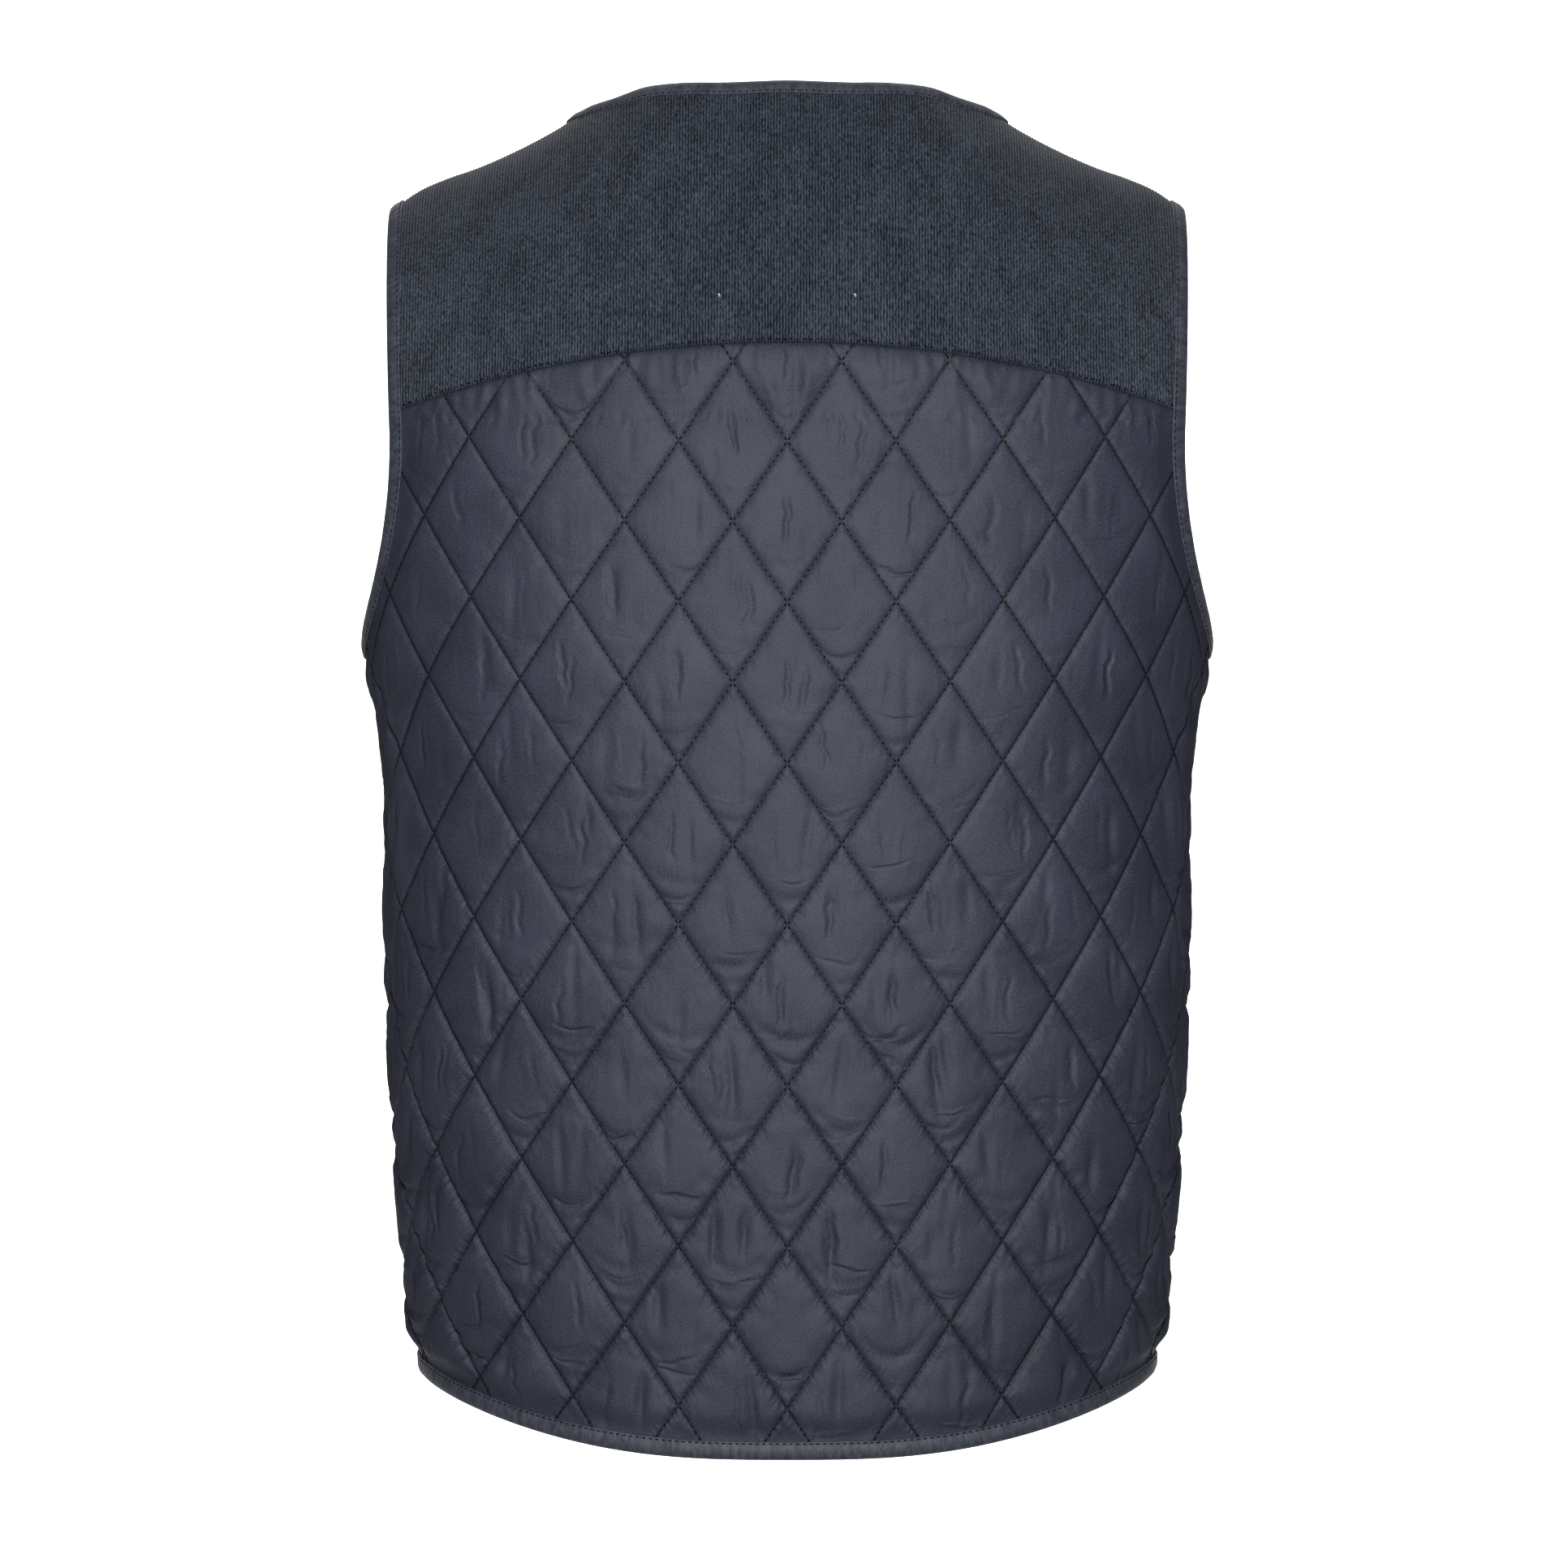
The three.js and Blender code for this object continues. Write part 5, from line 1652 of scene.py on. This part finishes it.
def seam_stitches(name):
    """Small leaning stitches along the yoke's back seam."""
    count = round(2 * ARM_BLADE / STITCH_PITCH)
    x = (np.arange(count) + 0.5 - count / 2) * STITCH_PITCH
    random = np.random.default_rng(SEAM_STITCH_SEED)
    z = yoke_seam_height(x) + SEAM_STITCH_OVER
    z += random.uniform(-SEAM_STITCH_WANDER, SEAM_STITCH_WANDER, count)
    turn = np.arcsin((z - BLADE_HEIGHT) / (ridge_height(np.abs(x)) - BLADE_HEIGHT))
    middles = yoke_surface.lifted(x, turn, SEAM_STITCH_HEIGHT)
    ends = yoke_surface.lifted(x + 1, turn, SEAM_STITCH_HEIGHT)
    along = ends - middles + np.array([0, 0, 1]) * random.uniform(*SEAM_STITCH_LEAN, count)[:, None]
    along /= np.linalg.norm(along, axis=1, keepdims=True)
    return stitch_mesh(name, middles, along, outward_at(middles), EDGE_STITCH_LENGTH, EDGE_THREAD_WIDTH)


def edge_stitches(name, line):
    """Stitches along the turned-under edge of a binding."""
    reach, height = EDGE_STITCH
    ones = np.ones(len(line.along))
    middles, along = spaced(line.beside(reach * ones, height * ones), STITCH_PITCH)
    return stitch_mesh(name, middles, along, outward_at(middles), EDGE_STITCH_LENGTH, EDGE_THREAD_WIDTH)


# Making the pieces
diamonds = turned_diamonds(over_thin_wadding(smoothed(swell_diamonds(), 1)))
quilt = quilted_cloth()
wale_cloth = corduroy()
tape = binding_cloth()
navy = thread("navy thread", THREAD_NAVY)
edge_thread = thread("edge thread", THREAD_EDGE)
cream = thread("cream thread", THREAD_CREAM)
metal = stud_metal()

for panel, (node, seed) in zip((back_panel, left_front, right_front), PANEL_SEEDS.items()):
    dress(panel.make(diamonds, seed), quilt, "quilted_cloth", node)
dress(corduroy_yoke("back_yoke_corduroy"), wale_cloth, "corduroy", "back_yoke")

edges = edge_line()
arms = {"left": armhole_line(1), "right": armhole_line(-1)}
dress(binding_mesh("edge_binding_folded", edges, EDGE_BINDING_SEED), tape, "binding", "edge_binding")
for hand, line in arms.items():
    node = f"armhole_binding_{hand}"
    dress(binding_mesh(f"{node}_folded", line, ARMHOLE_BINDING_SEED), tape, "binding", node)

for panel in (back_panel, left_front, right_front):
    dress(quilting_stitches(panel, panel.name.replace("quilted", "stitches")), navy, None)
dress(edge_stitches("edge_edge_stitches", edges), edge_thread, None)
for hand, line in arms.items():
    dress(edge_stitches(f"armhole_{hand}_edge_stitches", line), edge_thread, None)
dress(seam_stitches("yoke_seam_stitches"), edge_thread, None)
dress(tacks("yoke_tacks"), cream, None)
for kind in STUD_PROFILES:
    nodes = [f"stud_{kind}_{i + 1}" for i in range(STUD_COUNT)]
    dress(studs(f"stud_{kind}s", kind), metal, "studs", *nodes)

# A pale floor far below the held-up vest, running up into the backdrop, and soft studio light
FLOOR_HEIGHT = -1.25
FLOOR_HALF_WIDTH = 1.5
FLOOR_NEAR = 0.2
BACKDROP_AT = -4.6
BACKDROP_TOP = 1.6
BEND = 1.2
BEND_STEPS = 16
PALE = linear(244, 244, 244)
MIDDLE = (0, 0, -0.33)
WORLD_STRENGTH = 0.07


def backdrop():
    turn = np.linspace(0, math.pi / 2, BEND_STEPS)
    y = np.concatenate([[FLOOR_NEAR], BACKDROP_AT + BEND * (1 - np.sin(turn)), [BACKDROP_AT]])
    z = np.concatenate([[FLOOR_HEIGHT], FLOOR_HEIGHT + BEND * (1 - np.cos(turn)), [BACKDROP_TOP]])
    x = np.array([-FLOOR_HALF_WIDTH, FLOOR_HALF_WIDTH])
    points = np.stack(np.broadcast_arrays(x[None, :], y[:, None], z[:, None]), -1).reshape(-1, 3)
    thing = sheet_mesh("floor", points / MM, grid_faces(np.ones((len(y) - 1, 1), bool)))
    shader = Shader("pale paper")
    shader.feed(Base_Color=PALE, Roughness=0.85 + shader.noise(shader.placed(), 2.0) * 0.1)
    thing.data.materials.append(shader.material)


def soft_light(name, power, size, place, target, spread=180):
    data = bpy.data.lights.new(name, "AREA")
    data.shape = "RECTANGLE"
    data.size, data.size_y = size
    data.energy = power
    data.spread = math.radians(spread)
    lamp = bpy.data.objects.new(name, data)
    lamp.location = place
    lamp.rotation_euler = (Vector(target) - Vector(place)).to_track_quat("-Z", "Y").to_euler()
    bpy.context.scene.collection.objects.link(lamp)


backdrop()
soft_light("key light", 9.8, (0.4, 0.3), (0, 2.9, 0.42), MIDDLE, 72)
soft_light("backdrop light", 190, (2.6, 0.6), (0, -2.2, 2.4), (0, BACKDROP_AT, -0.5))
soft_light("low backdrop light", 70, (2.6, 0.4), (0, -2.4, -0.95), (0, BACKDROP_AT, -0.6))
world = bpy.data.worlds.new("studio")
bpy.context.scene.world = world
world.use_nodes = True
world.node_tree.nodes["Background"].inputs["Color"].default_value = (1, 1, 1, 1)
world.node_tree.nodes["Background"].inputs["Strength"].default_value = WORLD_STRENGTH
bpy.context.scene.view_settings.view_transform = "Standard"
